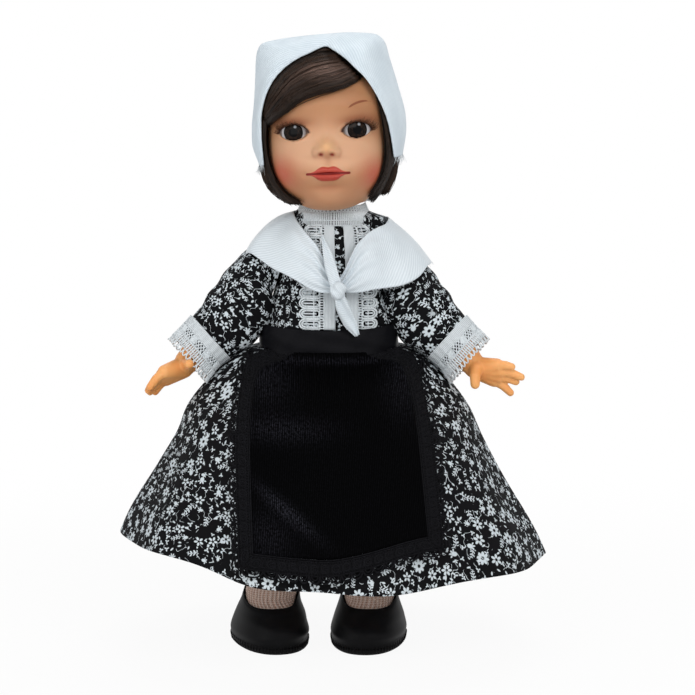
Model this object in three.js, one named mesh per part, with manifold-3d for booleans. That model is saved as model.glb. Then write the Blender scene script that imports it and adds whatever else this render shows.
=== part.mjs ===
// Costume doll: a jointed vinyl toddler doll in a printed dress, apron, shawl and kerchief.
// Millimetres, +Z up. The doll faces -Y, and its left side is +X.
// The origin is on the floor, under the middle of the skirt's hem.

import * as THREE from 'three';
import { mergeVertices } from 'three/addons/utils/BufferGeometryUtils.js';
import Module from 'manifold-3d';

const wasm = await Module();
wasm.setup();

// Clearances and walls
const gap = 0.3; // between pieces that lie on each other
const turnGap = 0.4; // between pieces that turn against each other
const vinylWall = 1.8; // torso and head shells
const clothThick = 0.9; // dress, petticoat, briefs and apron panel
const satinThick = 1.0; // shawl, kerchief and ribbon
const laceThick = 1.1; // lace trims
const sockThick = 0.8;
const shoeWall = 1.2;
const soleThick = 2.2;
const weltWidth = 1.3; // how far the sole stands out round the shoe

// Heights
const hipHeight = 98; // floor to hip axis
const waistRise = 29; // hip axis to waist seam
const shoulderRise = 58.5; // hip axis to shoulder axis
const headRise = 5.5; // foot of the neck to the underside of the head

// Torso sections: rise over the hip axis, half width, half depth
const torsoSections = [
  [-12, 7, 8],
  [-9, 12.5, 13],
  [-3, 19, 17],
  [5, 22.5, 18.5],
  [15, 23.2, 19.2],
  [29, 22, 18],
  [42, 20.3, 16.5],
  [54, 19.3, 15.2],
  [64, 18, 14],
  [71, 15, 12.4],
  [76, 10, 9.8],
];
const torsoSquareness = 2.4;

// Neck post and knob that the head snaps over
const neckRadius = 8;
const neckLip = 2.2; // how far the knob stands out round the post
const neckKnobHeight = 4;

// Arms: direction angles are from straight down, outwards and forwards
const armOut = 27.5; // middle plane to shoulder ball centre
const armBallRadius = 8.2;
const armSpread = 37;
const armForward = 12;
const wristReach = 51; // shoulder ball to wrist
const upperArmRadius = 7.4;
const elbowRadius = 6.8;
const wristRadius = 5;
const armStemRadius = 3.4;
const armFlangeRadius = 5.4;
const flangeThick = 2.2;
const armFlangeDepth = 13.8; // shoulder ball centre to the flange

// Hands: finger and thumb sizes, and where each hand points (outwards, forwards, down)
const palmLength = 13;
const palmRadius = 4.6;
const fingerLength = 8.5;
const fingerRadius = 1.75;
const thumbLength = 8.5;
const thumbRadius = 2.1;
const handAim = { left: [0.95, 0.12, 0.28], right: [0.72, 0.52, 0.46] };
const thumbAim = { left: [0.2, 0.55, 0.85], right: [0.1, 0.95, 0.3] };

// Legs: rise over the sole of the foot, half width, reach to the front and the back
const legSections = [
  [0, 10.4, 23.5, 11.5],
  [3, 11, 25, 12.5],
  [7, 10.7, 23.5, 12.6],
  [11, 10, 18, 11.8],
  [15, 9.5, 12.4, 10.6],
  [20, 9.3, 9.9, 9.9],
  [31, 9.6, 9.8, 10],
  [43, 10.2, 10.3, 10.6],
  [54, 9.9, 10.2, 10.2],
  [70, 9.8, 10.6, 10.6],
  [82, 8.5, 10.4, 10.4],
  [88, 8.5, 9.2, 9.2],
  [95, 8.5, 8, 8],
];
const ankleOut = 19.5; // middle plane to the leg at the floor
const hipOut = 17; // middle plane to the leg at the hip
const hipDiscRadius = 11;
const hipInner = 8.5; // middle plane to the flat inside of the thigh
const hipOuter = 26;
const hipStemRadius = 4;
const hipFlangeRadius = 6.2;
const hipFlangeDepth = 2.1; // inside of the thigh to the flange
const toeIn = 3; // how far the toe leans towards the middle
const sockTop = 50; // floor to the top of the sock
const shoeSideTop = 21; // floor to the shoe's opening at the sides
const shoeThroat = 15.5; // floor to the shoe's opening at the front

// Head sections: rise over its underside, half width, reach to the front and the back
const headSections = [
  [0, 11, 19.5, 11.5],
  [2, 14.4, 23.5, 14],
  [5.5, 17.8, 26.2, 17.5],
  [10.5, 20.8, 28, 21],
  [16.5, 23, 29.3, 23],
  [24.5, 24.6, 29.5, 26.5],
  [32, 25, 29, 28.5],
  [40, 24.6, 29, 28.8],
  [47, 22.6, 26.6, 26.8],
  [53, 18.8, 22, 22.6],
  [57.5, 13.6, 16, 16.6],
  [60.5, 7.4, 8.6, 9],
];
const headCentreRise = 32; // the point that hair thickness is measured from
const hairLift = 1.015; // inside of the hair, as a scale of the head about that point
const hairOut = 1.185; // outside of the hair, likewise

// Face
const eyeOut = 12.6;
const eyeRise = 31.5; // over the head's underside
const eyeHalf = [5, 3.6, 3.7]; // half width, half depth, half height
const eyeTurn = 22; // degrees that each eye looks outwards
const eyeSeat = 1.9; // eye centre behind the face
const noseRise = 22.5;
const mouthRise = 13.5;
const lipHeight = 2.4; // one lip
const featureSeat = 1; // how deep the nose and lips sit in the face

// Hair: the bob's hem and the locks beside the face
const bobRise = 7; // over the head's underside
const lockFrom = 60; // degrees from the face's middle
const lockTo = 92;
const hairSeam = 1.5; // degrees left open between hair pieces

// Kerchief: rise over the head's underside, then how far it stands off the hair at the
// sides, the front and the back
const kerchiefSections = [
  [14, 1.6, 0.8, 1.6],
  [22, 0.7, 0.5, 0.7],
  [32, 0.7, 0.5, 0.5],
  [42, 1.2, 0.7, 0.7],
  [51, 3.2, 1.8, 1.6],
  [58, 7, 4.4, 4],
  [64, 13.4, 9.5, 9],
];
const kerchiefCrown = [
  [67.2, 22.4, 18.5, 19.5],
  [68.6, 13, 12, 13],
  [69.2, 4, 3, 4],
];
const kerchiefOpening = [
  [0, 64],
  [8.6, 61],
  [16.8, 56],
  [22.6, 49.5],
  [26, 41],
  [27.2, 33],
  [27.2, 26],
  [26.4, 10],
]; // half of the face opening: out from the middle, rise over the head's underside
const kerchiefTail = 15;
const kerchiefKnotRadius = 4;

// Dress
const bodiceTuck = 5; // how far the bodice runs down inside the skirt
const skirtOverlap = 3; // how far the skirt runs up over the waist seam
const skirtSections = [
  [9, 29, 24.5],
  [14, 38, 32],
  [20, 47.5, 40.5],
  [31, 58.5, 50.5],
  [43, 64.5, 56.5],
  [64, 74, 65.5],
  [89, 84.5, 76],
]; // drop below the waist seam, half width, half depth
const skirtFolds = 10;
const foldSteps = 4; // points round the hem for each fold
const foldDepth = 2.2;
const petticoatRoom = 2.6; // inside of the skirt's folds to the petticoat
const petticoatDrop = 76;
const petticoatTop = 7; // waist seam to the top of the petticoat
const briefsTop = 17; // hip axis to the top of the briefs
const sleeveHeadRadius = 11.8;
const sleeveTopRadius = 10.8;
const sleeveEndRadius = 9.8;
const sleeveLength = 44;
const cuffStart = 36.5; // shoulder to the upper edge of the cuff lace
const cuffEnd = 51;
const cuffFlare = 0.8;
const collarRise = 14.5; // shoulder axis to the collar's lower edge
const collarHeight = 7.2;
const placketShift = 3; // the front opening lies this far to the doll's left
const placketHalf = 2.4; // half the printed strip between the front laces
const frontLaceWidth = 13;
const backPlacketHalf = 5;
const snapRadius = 2.6;
const snapThick = 1.1;
const snapCount = 3;

// Apron
const bandHeight = 9.5;
const bandDrop = 5.5; // waist seam to the band's lower edge
const apronHalfWidths = [
  [6.1, 23],
  [9, 27],
  [14, 29],
  [82, 29],
]; // drop below the waist seam, half width with its lace
const apronSideGain = 9; // further half width gained on the way down
const apronDrop = 84;
const apronEase = 0.9; // clearance under the apron, which hangs loose on the skirt
const apronLaceWidth = 8.6;
const bowLoop = 15;
const bowTail = 34;
const bowWidth = 10;

// Shawl: angle from the front, upper edge (out, rise), ridge (out, rise), lower edge (out, rise),
// with rises measured from the shoulder axis
const shawlSections = [
  [6, [20.5, 2], [22, -4], [22, -10.5]],
  [25, [20.5, 9], [23, 2.5], [24.5, -6]],
  [50, [18.5, 15.5], [25.5, 9], [30.5, 2]],
  [75, [17, 18.5], [28, 13.8], [37.4, 6.8]],
  [95, [16.6, 19.4], [28, 14.6], [38.4, 7.2]],
  [125, [16.2, 19], [25.5, 12.5], [32.5, 3]],
  [152, [16, 18], [21, 8], [24, -7]],
  [180, [15.8, 17.5], [20, 5], [22, -16]],
];
const shawlKnotRadius = 4.2;
const shawlKnotRise = -10; // from the shoulder axis
const shawlTail = 17;

// Heights that follow
const waistZ = hipHeight + waistRise;
const shoulderZ = hipHeight + shoulderRise;
const neckZ = hipHeight + torsoSections.at(-1)[0];
const headZ = neckZ + headRise;
const legBottom = soleThick + gap + sockThick + gap;

const materials = {
  skin: new THREE.MeshStandardMaterial({ color: 0xe0a478, roughness: 0.5 }),
  eye: new THREE.MeshStandardMaterial({ color: 0x2a1c14, roughness: 0.1 }),
  hair: new THREE.MeshStandardMaterial({ color: 0x2b1d14, roughness: 0.45 }),
  print: new THREE.MeshStandardMaterial({ color: 0x1a1a1c, roughness: 0.9 }),
  white: new THREE.MeshStandardMaterial({ color: 0xe8eff4, roughness: 0.6 }),
  lace: new THREE.MeshStandardMaterial({ color: 0xdde3e6, roughness: 0.9 }),
  black: new THREE.MeshStandardMaterial({ color: 0x0c0c0e, roughness: 0.5 }),
  sock: new THREE.MeshStandardMaterial({ color: 0xd9c3b4, roughness: 0.95 }),
  shoe: new THREE.MeshStandardMaterial({ color: 0x0d0d0e, roughness: 0.35 }),
  steel: new THREE.MeshStandardMaterial({ color: 0xb9bcc0, roughness: 0.3, metalness: 1 }),
};

const doll = new THREE.Group();

function piece(name, solid, material) {
  const mesh = new THREE.Mesh(solid.isBufferGeometry ? solid : geometryOf(solid), material);
  mesh.name = name;
  doll.add(mesh);
  return mesh;
}

// Solids and geometry

function solidOf(geometry) {
  const bare = geometry.clone();
  bare.deleteAttribute('normal');
  bare.deleteAttribute('uv');
  const merged = mergeVertices(bare, 1e-4);
  return new wasm.Manifold(new wasm.Mesh({
    numProp: 3,
    vertProperties: new Float32Array(merged.attributes.position.array),
    triVerts: new Uint32Array(merged.index.array),
  }));
}

function geometryOf(solid) {
  const mesh = solid.getMesh();
  const geometry = new THREE.BufferGeometry();
  geometry.setAttribute('position', new THREE.BufferAttribute(new Float32Array(mesh.vertProperties), 3));
  geometry.setIndex(new THREE.BufferAttribute(new Uint32Array(mesh.triVerts), 1));
  return geometry;
}

function union(solids) {
  return solids.reduce((whole, next) => whole.add(next));
}

// A geometry from points and faces, turned so that its faces point out.
function closedGeometry(points, faces) {
  const volume = faces.reduce((sum, [a, b, c]) => {
    const cross = points[b].clone().cross(points[c]);
    return sum + points[a].dot(cross);
  }, 0);
  const index = faces.flatMap(([a, b, c]) => (volume < 0 ? [a, c, b] : [a, b, c]));
  const geometry = new THREE.BufferGeometry().setFromPoints(points);
  geometry.setIndex(index);
  return geometry;
}

// A solid through a stack of rings, closed at both ends.
function loft(rings) {
  const sides = rings[0].length;
  const points = rings.flat();
  const faces = [];
  for (let r = 0; r + 1 < rings.length; r += 1) {
    for (let c = 0; c < sides; c += 1) {
      const d = (c + 1) % sides;
      faces.push([r * sides + c, r * sides + d, (r + 1) * sides + d]);
      faces.push([r * sides + c, (r + 1) * sides + d, (r + 1) * sides + c]);
    }
  }
  const caps = [rings[0], rings.at(-1)].map((ring) => {
    const middle = new THREE.Vector3();
    ring.forEach((p) => middle.addScaledVector(p, 1 / sides));
    return points.push(middle) - 1;
  });
  const last = (rings.length - 1) * sides;
  for (let c = 0; c < sides; c += 1) {
    const d = (c + 1) % sides;
    faces.push([caps[0], d, c]);
    faces.push([caps[1], last + c, last + d]);
  }
  return solidOf(closedGeometry(points, faces));
}

// A sheet with thickness, from matching grids of outer and inner points. A ring closes on itself.
function sheet(outer, inner, isRing = false) {
  const rows = outer.length;
  const columns = outer[0].length;
  const points = [...outer.flat(), ...inner.flat()];
  const faces = [];
  const at = (side, r, c) => (side * rows + r) * columns + (c % columns);
  const quad = (a, b, c, d) => faces.push([a, b, c], [a, c, d]);
  const across = isRing ? columns : columns - 1;
  for (let c = 0; c < across; c += 1) {
    for (let r = 0; r + 1 < rows; r += 1) {
      quad(at(0, r, c), at(0, r, c + 1), at(0, r + 1, c + 1), at(0, r + 1, c));
      quad(at(1, r, c), at(1, r + 1, c), at(1, r + 1, c + 1), at(1, r, c + 1));
    }
    quad(at(0, 0, c), at(1, 0, c), at(1, 0, c + 1), at(0, 0, c + 1));
    quad(at(0, rows - 1, c), at(0, rows - 1, c + 1), at(1, rows - 1, c + 1), at(1, rows - 1, c));
  }
  for (let r = 0; r + 1 < rows && !isRing; r += 1) {
    const end = columns - 1;
    quad(at(0, r, 0), at(0, r + 1, 0), at(1, r + 1, 0), at(1, r, 0));
    quad(at(0, r, end), at(1, r, end), at(1, r + 1, end), at(0, r + 1, end));
  }
  return solidOf(closedGeometry(points, faces));
}

function ball(centre, radius, sides = 12) {
  const geometry = new THREE.SphereGeometry(radius, sides, Math.round(sides * 0.6));
  geometry.translate(centre.x, centre.y, centre.z);
  return solidOf(geometry);
}

function ellipsoid(centre, half, turn = 0, sides = 10) {
  const geometry = new THREE.SphereGeometry(1, sides, Math.round(sides * 0.6));
  geometry.scale(...half);
  geometry.rotateZ(THREE.MathUtils.degToRad(turn));
  geometry.translate(centre.x, centre.y, centre.z);
  return solidOf(geometry);
}

// A straight round bar from one point to another, with flat ends.
function bar(from, to, fromRadius, toRadius, sides = 12) {
  const along = to.clone().sub(from);
  const geometry = new THREE.CylinderGeometry(toRadius, fromRadius, along.length(), sides);
  const turn = new THREE.Quaternion().setFromUnitVectors(
    new THREE.Vector3(0, 1, 0),
    along.clone().normalize(),
  );
  geometry.applyQuaternion(turn);
  const middle = from.clone().lerp(to, 0.5);
  geometry.translate(middle.x, middle.y, middle.z);
  return solidOf(geometry);
}

function finger(from, aim, length, radius, sides = 6) {
  const tip = from.clone().addScaledVector(aim, length);
  return bar(from, tip, radius, radius * 0.85, sides).add(ball(tip, radius * 0.85, sides));
}

function block(low, high) {
  const size = high.clone().sub(low);
  const geometry = new THREE.BoxGeometry(size.x, size.y, size.z);
  geometry.translate((low.x + high.x) / 2, (low.y + high.y) / 2, (low.z + high.z) / 2);
  return solidOf(geometry);
}

// Straight-line reading of a table by its first column
function read(table, at) {
  const last = table.length - 1;
  const next = table.findIndex((row, i) => i > 0 && (at <= row[0] || i === last));
  const [low, high] = [table[next - 1], table[next]];
  const share = THREE.MathUtils.clamp((at - low[0]) / (high[0] - low[0]), 0, 1);
  return low.slice(1).map((value, i) => THREE.MathUtils.lerp(value, high[i + 1], share));
}

// A table's own rows between two values, with the two values themselves
function rowsBetween(table, low, high) {
  const inside = table.map((row) => row[0]).filter((at) => at > low + 0.5 && at < high - 0.5);
  return [low, ...inside, high];
}

// A level ring: half width, reach to the front and the back, and how square it is.
// Points run from the front towards the doll's left.
function ring(z, halfWidth, front, back, { sides = 20, square = 2, x = 0, toe = 0 } = {}) {
  const power = 2 / square;
  const points = [];
  for (let i = 0; i < sides; i += 1) {
    const angle = (i / sides) * Math.PI * 2;
    const across = Math.sign(Math.sin(angle)) * Math.abs(Math.sin(angle)) ** power;
    const ahead = Math.sign(Math.cos(angle)) * Math.abs(Math.cos(angle)) ** power;
    const reach = ahead > 0 ? front : back;
    const lean = toe * Math.max(0, ahead) ** 2;
    points.push(new THREE.Vector3(x + halfWidth * across + lean, -reach * ahead, z));
  }
  return points;
}

// Torso

function torsoRing(rise, extra, sides = 20) {
  const [halfWidth, halfDepth] = read(torsoSections, rise);
  const options = { sides, square: torsoSquareness };
  return ring(hipHeight + rise, halfWidth + extra, halfDepth + extra, halfDepth + extra, options);
}

function torsoStack(low, high, extra, sides) {
  return rowsBetween(torsoSections, low, high).map((rise) => torsoRing(rise, extra, sides));
}

function shoulder(side) {
  return new THREE.Vector3(side * armOut, 0, shoulderZ);
}

// A bar across the body, from one distance off the middle plane to another
function crossBar(side, z, from, to, radius, sides = 14) {
  const low = new THREE.Vector3(side * from, 0, z);
  const high = new THREE.Vector3(side * to, 0, z);
  return bar(low, high, radius, radius, sides);
}

// The plug that holds a limb: a stem through the torso's wall and a flange inside
function armPlug(side, extra) {
  const flange = armOut - armFlangeDepth;
  return union([
    crossBar(side, shoulderZ, flange - extra, armOut, armStemRadius + extra),
    crossBar(side, shoulderZ, flange - flangeThick - extra, flange + extra, armFlangeRadius + extra),
  ]);
}

function hipPlug(side, extra) {
  const flange = hipInner - hipFlangeDepth;
  return union([
    crossBar(side, hipHeight, flange - extra, hipInner + 1, hipStemRadius + extra),
    crossBar(side, hipHeight, flange - flangeThick - extra, flange + extra, hipFlangeRadius + extra),
  ]);
}

// The room for a leg: a round socket, open downwards so that the thigh can swing
function legRoom(side) {
  const inner = hipInner - turnGap;
  const reach = hipOuter + hipDiscRadius;
  const low = new THREE.Vector3(Math.min(side * inner, side * reach), -60, 0);
  const high = new THREE.Vector3(Math.max(side * inner, side * reach), 60, hipHeight);
  return hipSocket(side, 0).add(block(low, high));
}

function hipSocket(side, extra) {
  const inner = hipInner - turnGap - extra;
  return crossBar(side, hipHeight, inner, hipOuter + hipDiscRadius, hipDiscRadius + turnGap + extra, 20);
}

const both = [1, -1];
const [lowest, highest] = [torsoSections[0][0], torsoSections.at(-1)[0]];

function makeTorso() {
  const skin = loft(torsoStack(lowest, highest, 0));
  let hollow = loft(torsoStack(lowest + vinylWall, highest - vinylWall, -vinylWall, 12));
  both.forEach((side) => {
    const inner = hipInner - turnGap - vinylWall;
    const low = new THREE.Vector3(Math.min(side * inner, side * 60), -60, 0);
    const high = new THREE.Vector3(Math.max(side * inner, side * 60), 60, hipHeight + vinylWall);
    hollow = hollow.subtract(hipSocket(side, vinylWall)).subtract(block(low, high));
  });
  let torso = skin.subtract(hollow);
  const neckTop = headZ + vinylWall + turnGap;
  const post = new THREE.Vector3(0, 0, neckZ - vinylWall);
  const lip = new THREE.Vector3(0, 0, neckTop);
  const crown = new THREE.Vector3(0, 0, neckTop + neckKnobHeight);
  torso = torso.add(bar(post, lip, neckRadius, neckRadius, 18));
  torso = torso.add(bar(lip, crown, neckRadius + neckLip, neckRadius - 1, 18));
  both.forEach((side) => {
    torso = torso.subtract(legRoom(side));
    torso = torso.subtract(hipPlug(side, turnGap));
    torso = torso.subtract(armPlug(side, turnGap));
    torso = torso.subtract(ball(shoulder(side), armBallRadius + turnGap));
  });
  return torso;
}

// Arms

function sideName(side) {
  return side > 0 ? 'left' : 'right';
}

function aimed(side, [out, ahead, down]) {
  return new THREE.Vector3(side * out, -ahead, -down).normalize();
}

function armAim(side) {
  const spread = THREE.MathUtils.degToRad(armSpread);
  const ahead = THREE.MathUtils.degToRad(armForward);
  return aimed(side, [Math.tan(spread), Math.tan(ahead), 1]);
}

function alongArm(side, reach) {
  return shoulder(side).addScaledVector(armAim(side), reach);
}

function makeHand(side) {
  const wrist = alongArm(side, wristReach);
  const aim = aimed(side, handAim[sideName(side)]);
  const thumb = aimed(side, thumbAim[sideName(side)]);
  const spread = thumb.clone().addScaledVector(aim, -thumb.dot(aim)).normalize();
  const knuckles = wrist.clone().addScaledVector(aim, palmLength);
  const palm = bar(wrist, knuckles, palmRadius, palmRadius * 0.9, 8).add(ball(wrist, palmRadius, 8));
  const fingers = [-1.5, -0.5, 0.5, 1.5].map((place) => {
    const root = knuckles.clone().addScaledVector(spread, place * fingerRadius * 1.35);
    root.addScaledVector(aim, -fingerRadius);
    const fan = aim.clone().addScaledVector(spread, place * 0.24).normalize();
    return finger(root, fan, fingerLength + fingerRadius, fingerRadius);
  });
  const root = wrist.clone().addScaledVector(aim, palmLength * 0.3);
  return union([palm, ...fingers, finger(root, thumb, thumbLength, thumbRadius)]);
}

function makeArm(side) {
  const start = shoulder(side);
  const elbow = alongArm(side, wristReach * 0.5);
  const wrist = alongArm(side, wristReach);
  return union([
    ball(start, armBallRadius, 10),
    bar(start, elbow, upperArmRadius, elbowRadius, 10),
    bar(elbow, wrist, elbowRadius, wristRadius, 10),
    makeHand(side),
    armPlug(side, 0),
  ]);
}

// Legs, socks and shoes

function legAxis(side, z) {
  return side * THREE.MathUtils.lerp(ankleOut, hipOut, z / hipHeight);
}

function legRing(side, rise, extra, dropped = 0) {
  const [halfWidth, front, back] = read(legSections, rise);
  const z = legBottom + rise - dropped;
  const options = { sides: 14, square: 2.2, x: legAxis(side, z), toe: -side * toeIn * (rise < 14 ? 1 : 0) };
  return ring(z, halfWidth + extra, front + extra, back + extra, options);
}

// The leg and foot, thickened by an extra layer, from the foot's sole up to a height
function legSolid(side, topZ, extra) {
  const rises = rowsBetween(legSections, 0, topZ - legBottom);
  return loft(rises.map((rise) => legRing(side, rise, extra, rise === 0 ? extra : 0)));
}

function makeLeg(side) {
  return union([
    legSolid(side, hipHeight, 0),
    crossBar(side, hipHeight, hipInner, hipOuter, hipDiscRadius, 20),
    hipPlug(side, 0),
  ]);
}

function makeSock(side) {
  const outer = legSolid(side, sockTop, gap + sockThick);
  return outer.subtract(legSolid(side, sockTop + 1, gap));
}

function makeShoeUpper(side) {
  const inside = gap + sockThick + gap;
  const top = shoeSideTop + 1;
  const outer = legSolid(side, top, inside + shoeWall);
  const [low, high] = [ankleOut - 40, ankleOut + 40];
  const floor = block(new THREE.Vector3(-100, -60, -20), new THREE.Vector3(100, 60, soleThick + gap));
  const throat = new THREE.Shape([
    new THREE.Vector2(-60, shoeThroat),
    new THREE.Vector2(-12, shoeThroat),
    new THREE.Vector2(-2, shoeSideTop),
    new THREE.Vector2(60, shoeSideTop),
    new THREE.Vector2(60, shoeSideTop + 40),
    new THREE.Vector2(-60, shoeSideTop + 40),
  ]);
  const cut = new THREE.ExtrudeGeometry(throat, { depth: high - low, bevelEnabled: false });
  cut.rotateX(Math.PI / 2);
  cut.rotateZ(Math.PI / 2);
  cut.translate(side * ankleOut - (high - low) / 2, 0, 0);
  return outer.subtract(legSolid(side, top + 1, inside)).subtract(floor).subtract(solidOf(cut));
}

function makeSole(side) {
  const extra = gap + sockThick + gap + shoeWall + weltWidth;
  const outline = legRing(side, legSections[1][0], extra);
  const shape = new THREE.Shape(outline.map((p) => new THREE.Vector2(p.x, p.y)));
  return solidOf(new THREE.ExtrudeGeometry(shape, { depth: soleThick, bevelEnabled: false }));
}

// Head and face

const headSides = 20;

function headRing(rise, scale, extra = [0, 0, 0]) {
  const [halfWidth, front, back] = read(headSections, headCentreRise + (rise - headCentreRise) / scale);
  const [side, ahead, behind] = extra;
  const z = headZ + rise;
  return ring(z, halfWidth * scale + side, front * scale + ahead, back * scale + behind, { sides: headSides });
}

function headStack(scale, low, high) {
  const centred = (rise) => headCentreRise + (rise - headCentreRise) * scale;
  const rises = headSections.map((row) => centred(row[0])).filter((rise) => rise > low && rise < high);
  return [low, ...rises, high].map((rise) => headRing(rise, scale));
}

function facePoint(out, rise) {
  const [halfWidth, front] = read(headSections, rise);
  return new THREE.Vector3(out, -front * Math.sqrt(1 - (out / halfWidth) ** 2), headZ + rise);
}

function eyeSolid(side, extra) {
  const turn = -side * eyeTurn;
  const centre = facePoint(side * eyeOut, eyeRise);
  const inward = new THREE.Vector3(0, eyeSeat, 0);
  inward.applyAxisAngle(new THREE.Vector3(0, 0, 1), -THREE.MathUtils.degToRad(turn));
  return ellipsoid(centre.add(inward), eyeHalf.map((half) => half + extra), -turn, 12);
}

function makeHead() {
  const top = headSections.at(-1)[0];
  const skin = loft(headSections.map(([rise]) => headRing(rise, 1)));
  const hollow = loft(headSections.map(([rise, halfWidth, front, back]) => ring(
    headZ + THREE.MathUtils.clamp(rise, vinylWall, top - vinylWall) + (rise / top) * 0.01,
    Math.max(halfWidth - vinylWall, 1),
    Math.max(front - vinylWall, 1),
    Math.max(back - vinylWall, 1),
    { sides: 12 },
  )));
  const inward = new THREE.Vector3(0, featureSeat, 0);
  const nose = ellipsoid(facePoint(0, noseRise).add(inward), [3.6, 3.4, 3.2], 0, 8);
  const lipTop = ellipsoid(facePoint(0, mouthRise + lipHeight / 2).add(inward), [5.4, 1.9, lipHeight * 0.6], 0, 8);
  const lipLow = ellipsoid(facePoint(0, mouthRise - lipHeight / 2).add(inward), [4.2, 2.1, lipHeight * 0.65], 0, 8);
  let head = union([skin, nose, lipTop, lipLow]).subtract(hollow);
  const neckLow = new THREE.Vector3(0, 0, headZ - vinylWall);
  const neckHigh = new THREE.Vector3(0, 0, headZ + vinylWall + turnGap / 2);
  head = head.subtract(bar(neckLow, neckHigh, neckRadius + turnGap, neckRadius + turnGap, 18));
  both.forEach((side) => {
    head = head.subtract(eyeSolid(side, gap));
  });
  return head;
}

// A strip of lash bristles over the eye
function makeLash(side) {
  const columns = 7;
  const grid = [0, 1].map((face) => [0, 1].map((row) => {
    const points = [];
    for (let c = 0; c < columns; c += 1) {
      const across = (c / (columns - 1)) * 2 - 1;
      const out = eyeOut + across * (eyeHalf[0] - 0.4);
      const lift = eyeHalf[2] * (1.08 - 0.45 * across * across) + 0.9;
      const foot = facePoint(side * out, eyeRise + lift);
      foot.y -= gap + row * 2.6;
      foot.z += face * 0.5 + row * 0.7;
      points.push(foot);
    }
    return points;
  }));
  return sheet(grid[1], grid[0]);
}

// Hair: patches of the head's own surface, between two angles and two heights
function hairPatch(from, to, risesAt, lift, out, columns) {
  const rows = risesAt(from).length;
  const grids = [out, lift].map((scale) => {
    const grid = [];
    for (let r = 0; r < rows; r += 1) {
      const line = [];
      for (let c = 0; c < columns; c += 1) {
        const degrees = THREE.MathUtils.lerp(from, to, c / (columns - 1));
        const rise = risesAt(degrees)[r];
        const angle = THREE.MathUtils.degToRad(degrees);
        const [halfWidth, front, back] = read(headSections, rise);
        const reach = Math.cos(angle) > 0 ? front : back;
        const across = halfWidth * Math.sin(angle) * scale;
        const z = headZ + headCentreRise + (rise - headCentreRise) * scale;
        line.push(new THREE.Vector3(across, -reach * Math.cos(angle) * scale, z));
      }
      grid.push(line);
    }
    return grid;
  });
  return sheet(grids[0], grids[1]);
}

const hairTop = headSections.at(-2)[0];

// The lower edge of the fringe, which sweeps down from the parting at the doll's left
function fringeHem(degrees) {
  return THREE.MathUtils.lerp(34, 53, (degrees + lockFrom) / (lockFrom + 45));
}

function makeHairPieces() {
  const lockTop = headSections[7][0];
  const fringeTo = 45;
  const bob = () => rowsBetween(headSections, bobRise, hairTop);
  const lock = () => rowsBetween(headSections, bobRise, lockTop);
  const fringeRows = (degrees) => [0, 0.2, 0.4, 0.6, 0.8, 1]
    .map((share) => THREE.MathUtils.lerp(fringeHem(degrees), hairTop, share));
  const back = hairPatch(lockTo + hairSeam, 360 - lockTo - hairSeam, bob, hairLift, hairOut, 12);
  const left = hairPatch(lockFrom, lockTo, lock, hairLift, hairOut, 4);
  const right = hairPatch(-lockTo, -lockFrom, lock, hairLift, hairOut, 4);
  const fringeLift = hairLift + 0.012;
  const fringe = hairPatch(hairSeam - lockFrom, fringeTo, fringeRows, fringeLift, hairOut - 0.04, 10);
  piece('hair_bob_back', back, materials.hair);
  piece('hair_lock_left', left, materials.hair);
  piece('hair_lock_right', right, materials.hair);
  piece('hair_fringe', fringe, materials.hair);
}

// Kerchief

function kerchiefRings(extra) {
  const rings = kerchiefSections.map(([rise, side, front, back]) => {
    const stand = [side, front, back].map((value) => value + gap + extra);
    return headRing(rise, hairOut, stand);
  });
  const crown = kerchiefCrown.map(([rise, side, front, back]) => ring(
    headZ + rise + extra,
    side + extra,
    front + extra,
    back + extra,
    { sides: headSides },
  ));
  return [...rings, ...crown];
}

function makeKerchief() {
  const outer = loft(kerchiefRings(satinThick));
  const rings = kerchiefRings(0);
  const skirtRing = rings[0].map((p) => p.clone().setZ(p.z - 2));
  const inner = loft([skirtRing, ...rings]);
  const half = new THREE.SplineCurve(kerchiefOpening.map(([out, rise]) => new THREE.Vector2(out, rise)));
  const right = half.getPoints(12);
  const left = right.slice(1).map((p) => new THREE.Vector2(-p.x, p.y)).reverse();
  const depth = 60;
  const opening = new THREE.ExtrudeGeometry(new THREE.Shape([...left, ...right]), {
    depth,
    bevelEnabled: false,
  });
  opening.rotateX(Math.PI / 2);
  opening.translate(0, -2, headZ);
  return outer.subtract(inner).subtract(solidOf(opening));
}

// A flat tail of cloth that hangs from a knot
function tail(from, aim, length, width, thick) {
  const across = new THREE.Vector3(aim.z, 0, -aim.x).normalize();
  const through = across.clone().cross(aim).normalize();
  const corner = (along, wide, deep) => from.clone()
    .addScaledVector(aim, along)
    .addScaledVector(across, wide)
    .addScaledVector(through, deep);
  const face = (deep) => [0, 0.5, 1].map((share) => [-1, 1].map((end) => {
    const half = (width / 2) * THREE.MathUtils.lerp(0.45, 1, share);
    return corner(length * share, end * half, deep);
  }));
  return sheet(face(thick / 2), face(-thick / 2));
}

function makeKerchiefKnot() {
  const rise = kerchiefSections[0][0] + kerchiefKnotRadius;
  const [, , back] = read(headSections, headCentreRise + (rise - headCentreRise) / hairOut);
  const [, , loose] = read(kerchiefSections, rise);
  const y = back * hairOut + loose + gap + satinThick + gap + kerchiefKnotRadius;
  const middle = new THREE.Vector3(0, y, headZ + rise);
  const tails = both.map((side) => {
    const aim = new THREE.Vector3(side * 0.35, 0.05, -1).normalize();
    return tail(middle, aim, kerchiefTail, 9, satinThick);
  });
  const half = [kerchiefKnotRadius * 1.3, kerchiefKnotRadius, kerchiefKnotRadius];
  return union([ellipsoid(middle, half), ...tails]);
}

// Dress

const bodiceOut = gap + clothThick; // outside of the bodice, over the torso
const waistOut = bodiceOut + gap + clothThick; // outside of the skirt's top

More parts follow.
